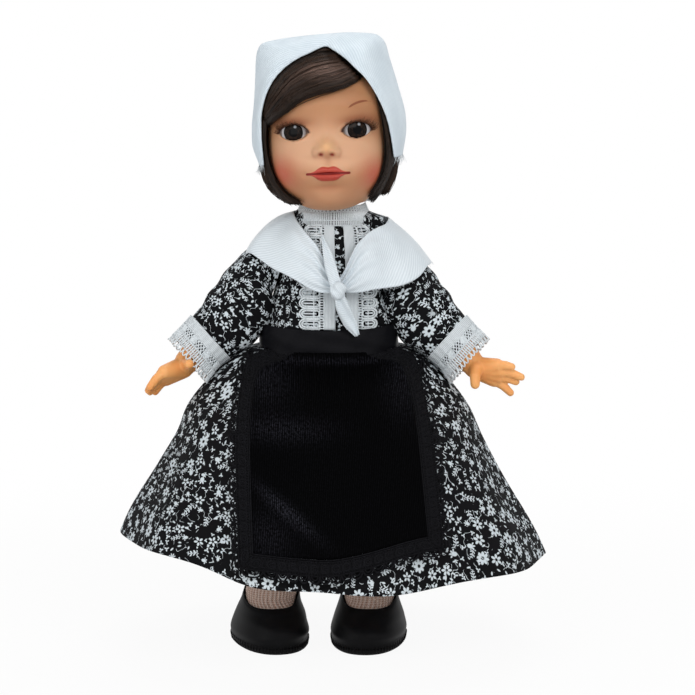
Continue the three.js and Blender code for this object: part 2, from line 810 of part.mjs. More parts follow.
function makeBodice() {
  const low = waistRise - bodiceTuck;
  const high = highest - 0.8;
  const outer = torsoStack(low, high, bodiceOut);
  const inner = torsoStack(low, high, gap);
  let bodice = sheet(outer, inner, true);
  both.forEach((side) => {
    bodice = bodice.subtract(ball(shoulder(side), armBallRadius + turnGap));
    bodice = bodice.subtract(crossBar(side, shoulderZ, 0, armOut, armStemRadius + turnGap));
  });
  return bodice;
}

// The dress's widest half width beside the arms, where the sleeves begin
function armholeX() {
  const low = shoulderRise - sleeveHeadRadius;
  const rises = rowsBetween(torsoSections, low, shoulderRise + sleeveHeadRadius);
  return Math.max(...rises.map((rise) => read(torsoSections, rise)[0])) + bodiceOut;
}

function sleeveSolid(side, extra, reach) {
  return union([
    ball(shoulder(side), sleeveHeadRadius + extra, 12),
    bar(shoulder(side), alongArm(side, reach), sleeveTopRadius + extra, sleeveEndRadius + extra, 12),
  ]);
}

function makeSleeve(side) {
  const inner = sleeveSolid(side, -clothThick, sleeveLength + 1);
  const start = armholeX() + turnGap;
  const low = new THREE.Vector3(Math.min(side * start, side * -60), -60, 60);
  const high = new THREE.Vector3(Math.max(side * start, side * -60), 60, 220);
  return sleeveSolid(side, 0, sleeveLength).subtract(inner).subtract(block(low, high));
}

function makeCuff(side) {
  const from = alongArm(side, cuffStart);
  const to = alongArm(side, cuffEnd);
  const share = cuffStart / sleeveLength;
  const inside = THREE.MathUtils.lerp(sleeveTopRadius, sleeveEndRadius, share) + gap;
  const outer = bar(from, to, inside + laceThick, inside + laceThick + cuffFlare, 16);
  const aim = armAim(side);
  const early = from.clone().addScaledVector(aim, -1);
  const late = to.clone().addScaledVector(aim, 1);
  return outer.subtract(bar(early, late, inside, inside + cuffFlare, 16));
}

// The skirt's outline, with its waist held to the bodice and folds that deepen to the hem
const skirtSides = skirtFolds * foldSteps;
const skirtLength = skirtSections.at(-1)[0];

// Half width, half depth, fold depth and squareness of the skirt at a drop below the waist seam
function skirtRow(drop) {
  const waist = read(torsoSections, waistRise - bandDrop).map((half) => half + waistOut);
  const [halfWidth, halfDepth] = read([[bandDrop, ...waist], ...skirtSections], drop);
  const depth = foldDepth * THREE.MathUtils.smoothstep(drop, skirtSections[0][0], skirtLength);
  const share = (drop - bandDrop) / (skirtSections[2][0] - bandDrop);
  const square = THREE.MathUtils.lerp(torsoSquareness, 2, THREE.MathUtils.clamp(share, 0, 1));
  return { halfWidth, halfDepth, depth, square };
}

function foldedRing(drop, extra) {
  const { halfWidth, halfDepth, depth, square } = skirtRow(drop);
  const options = { sides: skirtSides, square };
  const points = ring(waistZ - drop, halfWidth + extra, halfDepth + extra, halfDepth + extra, options);
  return points.map((p, i) => {
    const angle = (i / skirtSides) * Math.PI * 2;
    const wave = -depth * Math.cos(skirtFolds * angle);
    return p.add(new THREE.Vector3(Math.sin(angle) * wave, -Math.cos(angle) * wave, 0));
  });
}

function waistRing(drop, extra, sides = skirtSides) {
  const [halfWidth, halfDepth] = read(torsoSections, waistRise - drop);
  const options = { sides, square: torsoSquareness };
  return ring(waistZ - drop, halfWidth + extra, halfDepth + extra, halfDepth + extra, options);
}

function skirtGrid(extra) {
  const waist = [-skirtOverlap, 0, bandDrop].map((drop) => waistRing(drop, waistOut + extra));
  return [...waist, ...skirtSections.map((row) => foldedRing(row[0], extra))];
}

function makeSkirt() {
  return sheet(skirtGrid(0), skirtGrid(-clothThick), true);
}

const petticoatSides = 24;

function makePetticoat() {
  const drops = rowsBetween(skirtSections, skirtSections[0][0], petticoatDrop);
  const grid = (extra) => {
    const waist = waistRing(petticoatTop, gap + clothThick + extra, petticoatSides);
    const flare = drops.map((drop) => {
      const { halfWidth, halfDepth, depth, square } = skirtRow(drop);
      const less = clothThick + depth + petticoatRoom - extra;
      const options = { sides: petticoatSides, square };
      return ring(waistZ - drop - 2, halfWidth - less, halfDepth - less, halfDepth - less, options);
    });
    return [waist, ...flare];
  };
  return sheet(grid(0), grid(-clothThick), true);
}

function makeBriefs() {
  const outer = torsoStack(lowest, briefsTop, gap + clothThick);
  outer.unshift(outer[0].map((p) => new THREE.Vector3(p.x * 0.8, p.y * 0.8, p.z - gap - clothThick)));
  const inner = torsoStack(lowest, briefsTop + 1, gap);
  inner.unshift(inner[0].map((p) => new THREE.Vector3(p.x * 0.8, p.y * 0.8, p.z - gap)));
  let briefs = loft(outer).subtract(loft(inner));
  both.forEach((side) => {
    briefs = briefs.subtract(legRoom(side));
  });
  return briefs;
}

// Points over the bodice at a place across it, to the front (1) or the back (-1)
function bodicePoint(across, rise, extra, way) {
  const [halfWidth, halfDepth] = read(torsoSections, rise);
  const share = Math.min(Math.abs(across) / (halfWidth + extra), 1);
  const depth = (halfDepth + extra) * (1 - share ** torsoSquareness) ** (1 / torsoSquareness);
  return new THREE.Vector3(across, -way * depth, hipHeight + rise);
}

// An upright strip that lies on the bodice, with its edges given at the waist: it narrows with the chest
function bodiceStrip(from, to, low, high, lift, thick, way) {
  const columns = 5;
  const rises = rowsBetween(torsoSections, low, high);
  const grid = (extra) => rises.map((rise) => {
    const line = [];
    for (let c = 0; c < columns; c += 1) {
      const share = read(torsoSections, rise)[0] / read(torsoSections, waistRise)[0];
      line.push(bodicePoint(THREE.MathUtils.lerp(from, to, c / (columns - 1)) * share, rise, extra, way));
    }
    return line;
  });
  return sheet(grid(lift + thick), grid(lift));
}

const stripLow = waistRise + bandHeight - bandDrop + gap;
const stripHigh = shoulderRise + collarRise - gap;

function makeFrontLace(side) {
  const near = placketShift + side * placketHalf;
  const far = placketShift + side * (placketHalf + frontLaceWidth);
  return bodiceStrip(near, far, stripLow, stripHigh, bodiceOut + gap, laceThick, 1);
}

function makeCollar() {
  const [halfWidth, halfDepth] = read(torsoSections, shoulderRise + collarRise);
  const low = shoulderZ + collarRise;
  const grid = (extra) => [0, 0.4, 1].map((share) => {
    const lean = -1.4 * share;
    const across = halfWidth + bodiceOut + gap + extra + lean;
    const deep = halfDepth + bodiceOut + gap + extra + lean;
    return ring(low + collarHeight * share, across, deep, deep, { square: torsoSquareness });
  });
  return sheet(grid(laceThick), grid(0), true);
}

const snapLift = bodiceOut + gap;
const backPlacketLift = snapLift + snapThick + gap;

function makeBackPlacket() {
  const half = backPlacketHalf;
  return bodiceStrip(-half, half, stripLow, shoulderRise, backPlacketLift, clothThick, -1);
}

function makeSnap(number) {
  const rise = THREE.MathUtils.lerp(stripLow, shoulderRise, (number - 0.5) / snapCount);
  const from = bodicePoint(0, rise, snapLift, -1);
  const slope = bodicePoint(0, rise + 1, 0, -1).sub(bodicePoint(0, rise - 1, 0, -1)).normalize();
  const to = from.clone().add(new THREE.Vector3(0, slope.z, -slope.y).multiplyScalar(snapThick));
  return bar(from, to, snapRadius, snapRadius * 0.9, 12);
}

// Apron

const bandLift = waistOut + gap;

function makeBand() {
  const drops = [bandDrop - bandHeight, 0, bandDrop];
  const grid = (extra) => drops.map((drop) => waistRing(drop, bandLift + extra));
  return sheet(grid(satinThick), grid(0), true);
}

function apronWidth(drop) {
  return read(apronHalfWidths, drop)[0] + apronSideGain * Math.min(1, drop / apronDrop);
}

// A point over the skirt's front, at a place across it and a drop below the waist seam
function skirtFront(across, drop, extra) {
  const { halfWidth, halfDepth, depth, square } = skirtRow(drop);
  const out = extra + depth + apronEase;
  const share = Math.min(Math.abs(across) / (halfWidth + out), 1);
  const ahead = (halfDepth + out) * (1 - share ** square) ** (1 / square);
  return new THREE.Vector3(across, -ahead, waistZ - drop);
}

function skirtBack(across, drop, extra) {
  return skirtFront(across, drop, extra).multiply(new THREE.Vector3(1, -1, 1));
}

const apronTop = bandDrop + gap + 0.5;

function makeApronPanel() {
  const drops = rowsBetween(skirtSections, apronTop, apronDrop - apronLaceWidth);
  const columns = 13;
  const grid = (extra) => drops.map((drop) => {
    const half = apronWidth(drop) - apronLaceWidth;
    const line = [];
    for (let c = 0; c < columns; c += 1) {
      line.push(skirtFront(half * ((c / (columns - 1)) * 2 - 1), drop, extra));
    }
    return line;
  });
  return sheet(grid(clothThick), grid(0));
}

// The lace runs down one side of the panel, along its foot and up the other side
function makeApronLace() {
  const inner = apronDrop - apronLaceWidth + gap;
  const sideDrops = rowsBetween(skirtSections, apronTop, inner);
  const path = (lace, foot) => {
    const side = (end) => sideDrops.map((drop) => {
      const reached = apronTop + ((drop - apronTop) / (inner - apronTop)) * (foot - apronTop);
      return [end * (apronWidth(drop) - apronLaceWidth + lace), reached];
    });
    const corner = apronWidth(inner) - apronLaceWidth + lace;
    const along = [-5, -4, -3, -2, -1, 0, 1, 2, 3, 4, 5].map((step) => [(step / 6) * corner, foot]);
    return [...side(-1), ...along, ...side(1).reverse()];
  };
  const near = path(gap, inner);
  const far = path(apronLaceWidth, apronDrop);
  const grid = (extra) => [0, 0.5, 1].map((share) => near.map(([across, drop], i) => skirtFront(
    THREE.MathUtils.lerp(across, far[i][0], share),
    THREE.MathUtils.lerp(drop, far[i][1], share),
    extra,
  )));
  return sheet(grid(laceThick), grid(0));
}

// The band's ends are tied in a bow behind the waist
function makeBow() {
  const [, halfDepth] = read(torsoSections, waistRise);
  const knotHalf = [4.5, 3, 5];
  const y = halfDepth + bandLift + satinThick + gap + knotHalf[1];
  const middle = new THREE.Vector3(0, y, waistZ - bandDrop + bandHeight / 2);
  const loops = both.map((side) => {
    const centre = middle.clone().add(new THREE.Vector3(side * (bowLoop / 2 + 2), 0.6, 1));
    const outer = ellipsoid(centre, [bowLoop / 2 + 2, 3, bowWidth / 2], side * 12, 8);
    const hollow = ellipsoid(centre, [bowLoop / 2, 1.6, bowWidth], side * 12, 8);
    return outer.subtract(hollow);
  });
  const drops = rowsBetween(skirtSections, bandDrop - 2, bandDrop + bowTail);
  const tails = both.map((side) => {
    const grid = (extra) => drops.map((drop) => {
      const share = (drop - drops[0]) / bowTail;
      const from = side * 11 * share;
      const wide = side * bowWidth * (0.4 + 0.6 * share);
      const places = [from, from + wide / 2, from + wide];
      const lift = drop < bandDrop + gap ? satinThick + gap : 0;
      return places.map((across) => skirtBack(across, drop, extra + lift));
    });
    return sheet(grid(satinThick + gap), grid(gap));
  });
  return union([ellipsoid(middle, knotHalf), ...loops, ...tails]);
}

// Shawl

function shawlPoint(degrees, share, extra) {
  const folded = degrees > 180 ? 360 - degrees : degrees;
  const flat = shawlSections.map(([at, upper, ridge, lower]) => [at, ...upper, ...ridge, ...lower]);
  const [upOut, upRise, midOut, midRise, lowOut, lowRise] = read(flat, folded);
  const curve = new THREE.QuadraticBezierCurve(
    new THREE.Vector2(upOut, upRise),
    new THREE.Vector2(2 * midOut - (upOut + lowOut) / 2, 2 * midRise - (upRise + lowRise) / 2),
    new THREE.Vector2(lowOut, lowRise),
  );
  const at = curve.getPoint(share);
  const along = curve.getTangent(share);
  const out = at.x - along.y * extra;
  const rise = at.y + along.x * extra;
  const angle = THREE.MathUtils.degToRad(degrees);
  return new THREE.Vector3(out * Math.sin(angle), -out * Math.cos(angle), shoulderZ + rise);
}

function makeShawl() {
  const first = shawlSections[0][0];
  const columns = 33;
  const rows = 5;
  const grid = (extra) => {
    const lines = [];
    for (let r = 0; r < rows; r += 1) {
      const line = [];
      for (let c = 0; c < columns; c += 1) {
        const degrees = THREE.MathUtils.lerp(first, 360 - first, c / (columns - 1));
        line.push(shawlPoint(degrees, r / (rows - 1), extra));
      }
      lines.push(line);
    }
    return lines;
  };
  return sheet(grid(satinThick), grid(0));
}

function makeShawlKnot() {
  const half = [shawlKnotRadius, shawlKnotRadius * 0.75, shawlKnotRadius];
  const front = shawlSections[0][3][0] + satinThick + gap + half[1];
  const middle = new THREE.Vector3(placketShift, -front, shoulderZ + shawlKnotRise);
  const down = new THREE.Vector3(0.36, 0.02, -1).normalize();
  const up = new THREE.Vector3(-0.28, 0.05, 1).normalize();
  return union([
    ellipsoid(middle, half),
    tail(middle, down, shawlTail, 7, satinThick),
    tail(middle, up, shawlTail, 6, satinThick),
  ]);
}

// The doll

piece('torso', makeTorso(), materials.skin);
piece('head', makeHead(), materials.skin);
both.forEach((side) => {
  const name = sideName(side);
  piece(`eye_${name}`, eyeSolid(side, 0), materials.eye);
  piece(`eyelash_${name}`, makeLash(side), materials.hair);
  piece(`arm_${name}`, makeArm(side), materials.skin);
  piece(`leg_${name}`, makeLeg(side), materials.skin);
  piece(`sock_${name}`, makeSock(side), materials.sock);
  piece(`shoe_upper_${name}`, makeShoeUpper(side), materials.shoe);
  piece(`shoe_sole_${name}`, makeSole(side), materials.shoe);
  piece(`sleeve_${name}`, makeSleeve(side), materials.print);
  piece(`cuff_lace_${name}`, makeCuff(side), materials.lace);
  piece(`front_lace_${name}`, makeFrontLace(side), materials.lace);
});
makeHairPieces();
piece('kerchief', makeKerchief(), materials.white);
piece('kerchief_knot', makeKerchiefKnot(), materials.white);
piece('briefs', makeBriefs(), materials.white);
piece('petticoat', makePetticoat(), materials.white);
piece('bodice', makeBodice(), materials.print);
piece('skirt', makeSkirt(), materials.print);
piece('collar_lace', makeCollar(), materials.lace);
piece('back_placket', makeBackPlacket(), materials.print);
for (let number = 1; number <= snapCount; number += 1) {
  piece(`back_snap_${number}`, makeSnap(number), materials.steel);
}
piece('apron_band', makeBand(), materials.black);
piece('apron_panel', makeApronPanel(), materials.black);
piece('apron_lace', makeApronLace(), materials.black);
piece('apron_bow', makeBow(), materials.black);
piece('shawl', makeShawl(), materials.white);
piece('shawl_knot', makeShawlKnot(), materials.white);

export default doll;
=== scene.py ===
import math

import bpy
import numpy as np
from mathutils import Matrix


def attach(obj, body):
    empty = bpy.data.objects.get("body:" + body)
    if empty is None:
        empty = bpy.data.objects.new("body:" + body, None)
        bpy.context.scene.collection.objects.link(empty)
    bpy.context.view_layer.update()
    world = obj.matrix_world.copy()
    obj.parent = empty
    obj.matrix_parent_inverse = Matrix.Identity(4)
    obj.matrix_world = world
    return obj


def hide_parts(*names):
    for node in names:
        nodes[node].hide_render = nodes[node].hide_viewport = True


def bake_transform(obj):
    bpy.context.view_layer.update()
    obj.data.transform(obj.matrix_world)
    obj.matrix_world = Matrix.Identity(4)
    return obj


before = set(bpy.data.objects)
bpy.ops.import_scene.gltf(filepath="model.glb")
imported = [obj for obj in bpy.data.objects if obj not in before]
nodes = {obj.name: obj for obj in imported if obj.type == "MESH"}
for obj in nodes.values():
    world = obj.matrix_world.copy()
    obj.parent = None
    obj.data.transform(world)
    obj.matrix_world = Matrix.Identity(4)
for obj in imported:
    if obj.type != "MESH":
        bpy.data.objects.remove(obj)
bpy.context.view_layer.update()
mm = 0.001
sides = {"left": 1, "right": -1}  # the doll's own left is +X
dice = np.random.default_rng(11)
print("frame loaded:", len(nodes), "nodes")


# Reading and shaping

def smoothRead(table, at):
    rows = np.asarray(table, float)
    x, y = rows[:, 0], rows[:, 1:]
    step = np.diff(x)[:, None]
    slope = np.diff(y, axis=0) / step
    product = slope[:-1] * slope[1:]
    lean = np.zeros_like(y)
    lean[1:-1] = np.where(product > 0, 2 * product / np.where(product > 0, slope[:-1] + slope[1:], 1), 0)
    lean[0], lean[-1] = slope[0], slope[-1]
    at = np.clip(np.asarray(at, float), x[0], x[-1])
    i = np.clip(np.searchsorted(x, at, side="right") - 1, 0, len(x) - 2)
    t = ((at - x[i]) / step[i, 0])[..., None]
    bow = y[i] * (1 + 2 * t) * (1 - t) ** 2 + y[i + 1] * t * t * (3 - 2 * t)
    return bow + step[i] * (lean[i] * t * (1 - t) ** 2 + lean[i + 1] * t * t * (t - 1))


def alongLine(points, at):
    # a smooth line through points, read at shares of its length
    points = np.asarray(points, float)
    length = np.r_[0, np.cumsum(np.linalg.norm(np.diff(points, axis=0), axis=1))]
    return smoothRead(np.c_[length / length[-1], points], at)


def ease(low, high, at):
    t = np.clip((np.asarray(at, float) - low) / (high - low), 0, 1)
    return t * t * (3 - 2 * t)


def hill(across, rise, wide, tall):
    return np.exp(-((across / wide) ** 2) / 2 - ((rise / tall) ** 2) / 2)


def ringXY(angle, halfWidth, front, back, square=2.0):
    power = 2 / np.asarray(square, float)
    across = np.sign(np.sin(angle)) * np.abs(np.sin(angle)) ** power
    ahead = np.sign(np.cos(angle)) * np.abs(np.cos(angle)) ** power
    return halfWidth * across, -np.where(ahead > 0, front, back) * ahead


def unit(vectors):
    vectors = np.asarray(vectors, float)
    return vectors / np.maximum(np.linalg.norm(vectors, axis=-1, keepdims=True), 1e-9)


def gridNormals(grid, wrap=False):
    if wrap:
        padded = np.concatenate([grid[:, -1:], grid, grid[:, :1]], axis=1)
        along = np.gradient(padded, axis=1)[:, 1:-1]
    else:
        along = np.gradient(grid, axis=1)
    return unit(np.cross(np.gradient(grid, axis=0), along))


def flatUV(u, v):
    return np.stack(np.broadcast_arrays(u, v), -1)


def wrapUV(angle, rows, radius, shift=0.0):
    # a tube laid flat: its turn times a radius across, its rows up
    turn = np.r_[angle, angle[0] + 2 * math.pi]
    return flatUV(turn[None] * radius + shift, rows[:, None])


# Making meshes

def addMesh(name, points, faceSets, uv=None):
    mesh = bpy.data.meshes.new(name)
    points = np.asarray(points, float) * mm
    loops = np.concatenate([np.asarray(f, np.int32).ravel() for f in faceSets])
    counts = np.concatenate([np.full(len(f), np.shape(f)[1], np.int32) for f in faceSets])
    starts = np.r_[0, np.cumsum(counts)[:-1]].astype(np.int32)
    mesh.vertices.add(len(points))
    mesh.vertices.foreach_set("co", points.astype(np.float32).ravel())
    mesh.loops.add(len(loops))
    mesh.loops.foreach_set("vertex_index", loops)
    mesh.polygons.add(len(starts))
    mesh.polygons.foreach_set("loop_start", starts)
    mesh.update(calc_edges=True)
    if uv is not None:
        layer = mesh.uv_layers.new(name="UVMap")
        layer.data.foreach_set("uv", np.asarray(uv, np.float32).ravel())
    mesh.validate()
    mesh.polygons.foreach_set("use_smooth", np.ones(len(mesh.polygons), bool))
    piece = bpy.data.objects.new(name, mesh)
    bpy.context.scene.collection.objects.link(piece)
    return piece


def gridFaces(rows, columns, wrap=False):
    r, c = np.meshgrid(np.arange(rows - 1), np.arange(columns if wrap else columns - 1), indexing="ij")
    d = (c + 1) % columns
    corners = [(r, c), (r + 1, c), (r + 1, d), (r, d)]
    faces = np.stack([row * columns + column for row, column in corners], -1).reshape(-1, 4)
    wide = columns + 1 if wrap else columns
    unrolled = [(r, c), (r + 1, c), (r + 1, c + 1), (r, c + 1)]
    return faces, np.stack([row * wide + column for row, column in unrolled], -1).reshape(-1, 4)


def gridPiece(name, grid, wrap=False, uv=None, flip=False):
    rows, columns = grid.shape[:2]
    faces, corners = gridFaces(rows, columns, wrap)
    if flip:
        faces, corners = faces[:, ::-1], corners[:, ::-1]
    uv = None if uv is None else np.asarray(uv).reshape(-1, 2)[corners.ravel()]
    return addMesh(name, grid.reshape(-1, 3), [faces], uv)


def closedRings(name, rings):
    # a closed skin through rings that run from the top down
    rows, columns = rings.shape[:2]
    faces, _ = gridFaces(rows, columns, True)
    last = (rows - 1) * columns
    caps = [np.arange(columns)[None], last + np.arange(columns)[::-1][None]]
    return addMesh(name, rings.reshape(-1, 3), [faces, *caps])


def tubeMesh(paths, normals, radii, count=4):
    paths = np.asarray(paths, float)
    along = unit(np.gradient(paths, axis=1))
    aside = unit(np.cross(along, np.broadcast_to(normals, paths.shape)))
    up = np.cross(aside, along)
    turn = 2 * np.pi * np.arange(count) / count
    radii = np.broadcast_to(radii, paths.shape[:2])[..., None, None]
    spokes = aside[:, :, None] * np.cos(turn)[:, None] + up[:, :, None] * np.sin(turn)[:, None]
    points = paths[:, :, None] + radii * spokes
    ids = np.arange(points[..., 0].size).reshape(points.shape[:3])
    a, b = ids[:, :-1], ids[:, 1:]
    quads = np.stack([a, b, np.roll(b, -1, 2), np.roll(a, -1, 2)], -1).reshape(-1, 4)
    caps = np.concatenate([ids[:, 0], ids[:, -1, ::-1]])
    return points.reshape(-1, 3), quads, caps


def tubePiece(name, batches, count=4):
    points, quads, caps, total = [], [], [], 0
    for paths, normals, radii in batches:
        p, q, c = tubeMesh(paths, normals, radii, count)
        points.append(p)
        quads.append(q + total)
        caps.append(c + total)
        total += len(p)
    return addMesh(name, np.concatenate(points), [np.concatenate(quads), np.concatenate(caps)])


def sphere(name, segments, rings, **settings):
    bpy.ops.object.select_all(action="DESELECT")
    bpy.ops.mesh.primitive_uv_sphere_add(segments=segments, ring_count=rings, **settings)
    ball = bpy.context.object
    ball.name = ball.data.name = name
    return ball


def readPoints(piece):
    co = np.zeros(len(piece.data.vertices) * 3, np.float32)
    piece.data.vertices.foreach_get("co", co)
    return co.reshape(-1, 3).astype(float)


def setPoints(piece, points):
    piece.data.vertices.foreach_set("co", (points * mm).astype(np.float32).ravel())


def only(piece):
    bpy.ops.object.select_all(action="DESELECT")
    piece.select_set(True)
    bpy.context.view_layer.objects.active = piece


def modify(piece, kind, **settings):
    only(piece)
    modifier = piece.modifiers.new(kind.title(), kind)
    for key, value in settings.items():
        setattr(modifier, key, value)
    bpy.ops.object.modifier_apply(modifier=modifier.name)


def thicken(piece, thick, offset=-1):
    modify(piece, "SOLIDIFY", thickness=thick * mm, offset=offset, use_even_offset=False, use_rim=True)


def joinAll(name, pieces):
    bpy.ops.object.select_all(action="DESELECT")
    for piece in pieces:
        piece.select_set(True)
    bpy.context.view_layer.objects.active = pieces[0]
    bpy.ops.object.join()
    pieces[0].name = pieces[0].data.name = name
    return pieces[0]


def setField(piece, name, values):
    field = piece.data.attributes.new(name, "FLOAT", "POINT")
    field.data.foreach_set("value", np.asarray(values, np.float32).ravel())


def fit(piece, finish, bodyName, slotName, *nodeNames):
    piece.data.materials.clear()
    piece.data.materials.append(finish)
    if bodyName:
        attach(piece, bodyName)
    if nodeNames:
        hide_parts(*nodeNames)
    return piece


# Shader maths: a wire carries one socket, and sums on wires add nodes

class Wire:
    def __init__(self, finish, socket):
        self.finish, self.socket = finish, socket

    def out(self, name):
        return Wire(self.finish, self.socket.node.outputs[name])

    def use(self, operation, *others):
        return self.finish.maths(operation, self, *others)

    def __add__(self, other):
        return self.use("ADD", other)

    def __mul__(self, other):
        return self.use("MULTIPLY", other)

    def __sub__(self, other):
        return self.use("SUBTRACT", other)

    def __rsub__(self, other):
        return self.finish.maths("SUBTRACT", other, self)

    def __truediv__(self, other):
        return self.use("DIVIDE", other)

    __radd__, __rmul__ = __add__, __mul__

    def rise(self, low, high):
        ends = {"Value": self, "From Min": low, "From Max": high}
        return self.finish.node("ShaderNodeMapRange", {"interpolation_type": "SMOOTHSTEP"}, ends)

    def fall(self, low, high):
        return 1 - self.rise(low, high)


class Finish:
    def __init__(self, name, **fixed):
        self.material = bpy.data.materials.new(name)
        self.material.use_nodes = True
        self.tree = self.material.node_tree
        self.shader = self.tree.nodes["Principled BSDF"]
        for key, value in fixed.items():
            self.shader.inputs[key.replace("_", " ")].default_value = value

    def node(self, kind, settings=None, inputs=None, out=0):
        made = self.tree.nodes.new(kind)
        for key, value in (settings or {}).items():
            setattr(made, key, value)
        for key, value in (inputs or {}).items():
            self.join(made.inputs[key], value)
        return Wire(self, made.outputs[out])

    def join(self, socket, value):
        if isinstance(value, Wire):
            self.tree.links.new(value.socket, socket)
        else:
            socket.default_value = value

    def maths(self, operation, *values):
        return self.node("ShaderNodeMath", {"operation": operation}, dict(enumerate(values)))

    def vector(self, operation, *values, scale=None):
        inputs = dict(enumerate(values))
        if scale is not None:
            inputs["Scale"] = scale
        return self.node("ShaderNodeVectorMath", {"operation": operation}, inputs)

    def mix(self, share, first, second):
        return self.node("ShaderNodeMix", {"data_type": "RGBA"}, {0: share, 6: first, 7: second}, 2)

    def uv(self):
        return self.node("ShaderNodeUVMap", {"uv_map": "UVMap"})

    def place(self):
        return self.node("ShaderNodeTexCoord", out=3)

    def split(self, vector):
        parts = self.node("ShaderNodeSeparateXYZ", None, {0: vector})
        return parts, parts.out("Y"), parts.out("Z")

    def field(self, name):
        return self.node("ShaderNodeAttribute", {"attribute_name": name}, out=2)

    def noise(self, at, scale, detail, rough=0.5):
        inputs = {"Vector": at, "Scale": scale, "Detail": detail, "Roughness": rough}
        return self.node("ShaderNodeTexNoise", None, inputs)

    def bump(self, height, deep, strength):
        inputs = {"Strength": strength, "Distance": deep * mm, "Height": height}
        return self.node("ShaderNodeBump", None, inputs)

    def done(self, **links):
        for key, value in links.items():
            self.join(self.shader.inputs[key.replace("_", " ")], value)
        return self.material


def paint(red, green, blue):
    shares = [c / 255 for c in (red, green, blue)]
    return (*[c / 12.92 if c <= 0.04045 else ((c + 0.055) / 1.055) ** 2.4 for c in shares], 1)


# Finishes

def makeVinyl(name, warm, deep, roughness=0.42):
    skin = Finish(name, Specular_IOR_Level=0.35, Subsurface_Weight=0.08, Subsurface_Scale=0.003)
    at = skin.place()
    blotch = skin.noise(at, 60, 3)
    grain = skin.noise(at, 2600, 2)
    colour = skin.mix(blotch.rise(0.35, 0.7), paint(*warm), paint(*deep))
    rough = roughness + 0.12 * skin.noise(at, 220, 2)
    return skin.done(Base_Color=colour, Roughness=rough, Normal=skin.bump(grain, 0.03, 0.25))


def makeFaceVinyl():
    skin = Finish("vinylFace", Specular_IOR_Level=0.3, Subsurface_Weight=0.15, Subsurface_Scale=0.004)
    at = skin.place()
    colour = skin.mix(skin.noise(at, 55, 3).rise(0.35, 0.7), paint(183, 131, 93), paint(175, 121, 84))
    # painted highlight: the glow field paints paler skin where light falls
    colour = skin.mix(skin.field("glow"), colour, paint(221, 172, 137))
    colour = skin.mix(skin.field("shade"), colour, paint(150, 88, 58))
    speck = skin.noise(at, 900, 3)
    colour = skin.mix(skin.field("blush") * (0.72 + 0.36 * speck), colour, paint(190, 84, 62))
    # painted highlight: a pale yellowish spot on the nose tip
    colour = skin.mix(skin.field("paintedNoseHighlight") * 0.4, colour, paint(232, 182, 112))
    colour = skin.mix(skin.field("nostril"), colour, paint(150, 58, 44))
    brow = skin.field("brow").fall(0.75, 1.25)
    colour = skin.mix(brow * 0.85, colour, paint(128, 66, 40))
    colour = skin.mix(skin.field("lid"), colour, paint(52, 28, 18))
    upper = skin.field("lipUp").rise(-0.12, 0.22)
    lower = skin.field("lipLow").rise(-0.12, 0.2)
    creases = skin.noise(at, 1500, 2)
    colour = skin.mix(upper, colour, skin.mix(creases, paint(177, 62, 50), paint(191, 81, 65)))
    colour = skin.mix(lower, colour, skin.mix(creases, paint(166, 49, 39), paint(190, 79, 63)))
    colour = skin.mix(skin.field("lipLine").fall(0.7, 1.25), colour, paint(122, 20, 16))
    lips = skin.maths("MAXIMUM", upper, lower)
    rough = 0.46 + 0.1 * skin.noise(at, 200, 2) - 0.16 * lips
    height = skin.noise(at, 2600, 2) + lips * 1.5
    return skin.done(Base_Color=colour, Roughness=rough, Normal=skin.bump(height, 0.04, 0.35))


def makeEye():
    eye = Finish("eyeGlaze", Roughness=0.05, Specular_IOR_Level=0.08)
    out = eye.field("iris")  # distance from the middle of the iris, mm
    streak = eye.noise(eye.place(), 1400, 3)
    iris = eye.mix(streak.rise(0.35, 0.7), paint(14, 10, 8), paint(46, 31, 22))
    colour = eye.mix(out.fall(1.5, 2.0), iris, paint(3, 3, 4))
    colour = eye.mix(out.rise(3.2, 3.7), colour, paint(7, 6, 6))
    colour = eye.mix(out.rise(3.72, 3.92), colour, paint(186, 182, 183))
    # painted shade: the white darkens towards the corners of the eye
    colour = eye.mix(out.rise(4.2, 5.5), colour, paint(112, 96, 92))
    # painted catchlight: a soft pale spot on the iris, above and to one side of the pupil
    colour = eye.mix(eye.field("paintedCatchlight").fall(0.35, 0.75) * 0.6, colour, paint(196, 200, 206))
    return eye.done(Base_Color=colour)


def makeHairFinish(name, dark, light, roughness):
    hair = Finish(name, Specular_IOR_Level=0.17)
    tone = hair.field("tone")
    streak = hair.noise(hair.place(), 500, 2)
    colour = hair.mix(tone * 0.85 + streak * 0.2, paint(*dark), paint(*light))
    # painted highlight: a paler streaky band on the strands
    colour = hair.mix(hair.field("paintedSheen"), colour, paint(164, 134, 121))
    return hair.done(Base_Color=colour, Roughness=roughness + 0.12 * tone)


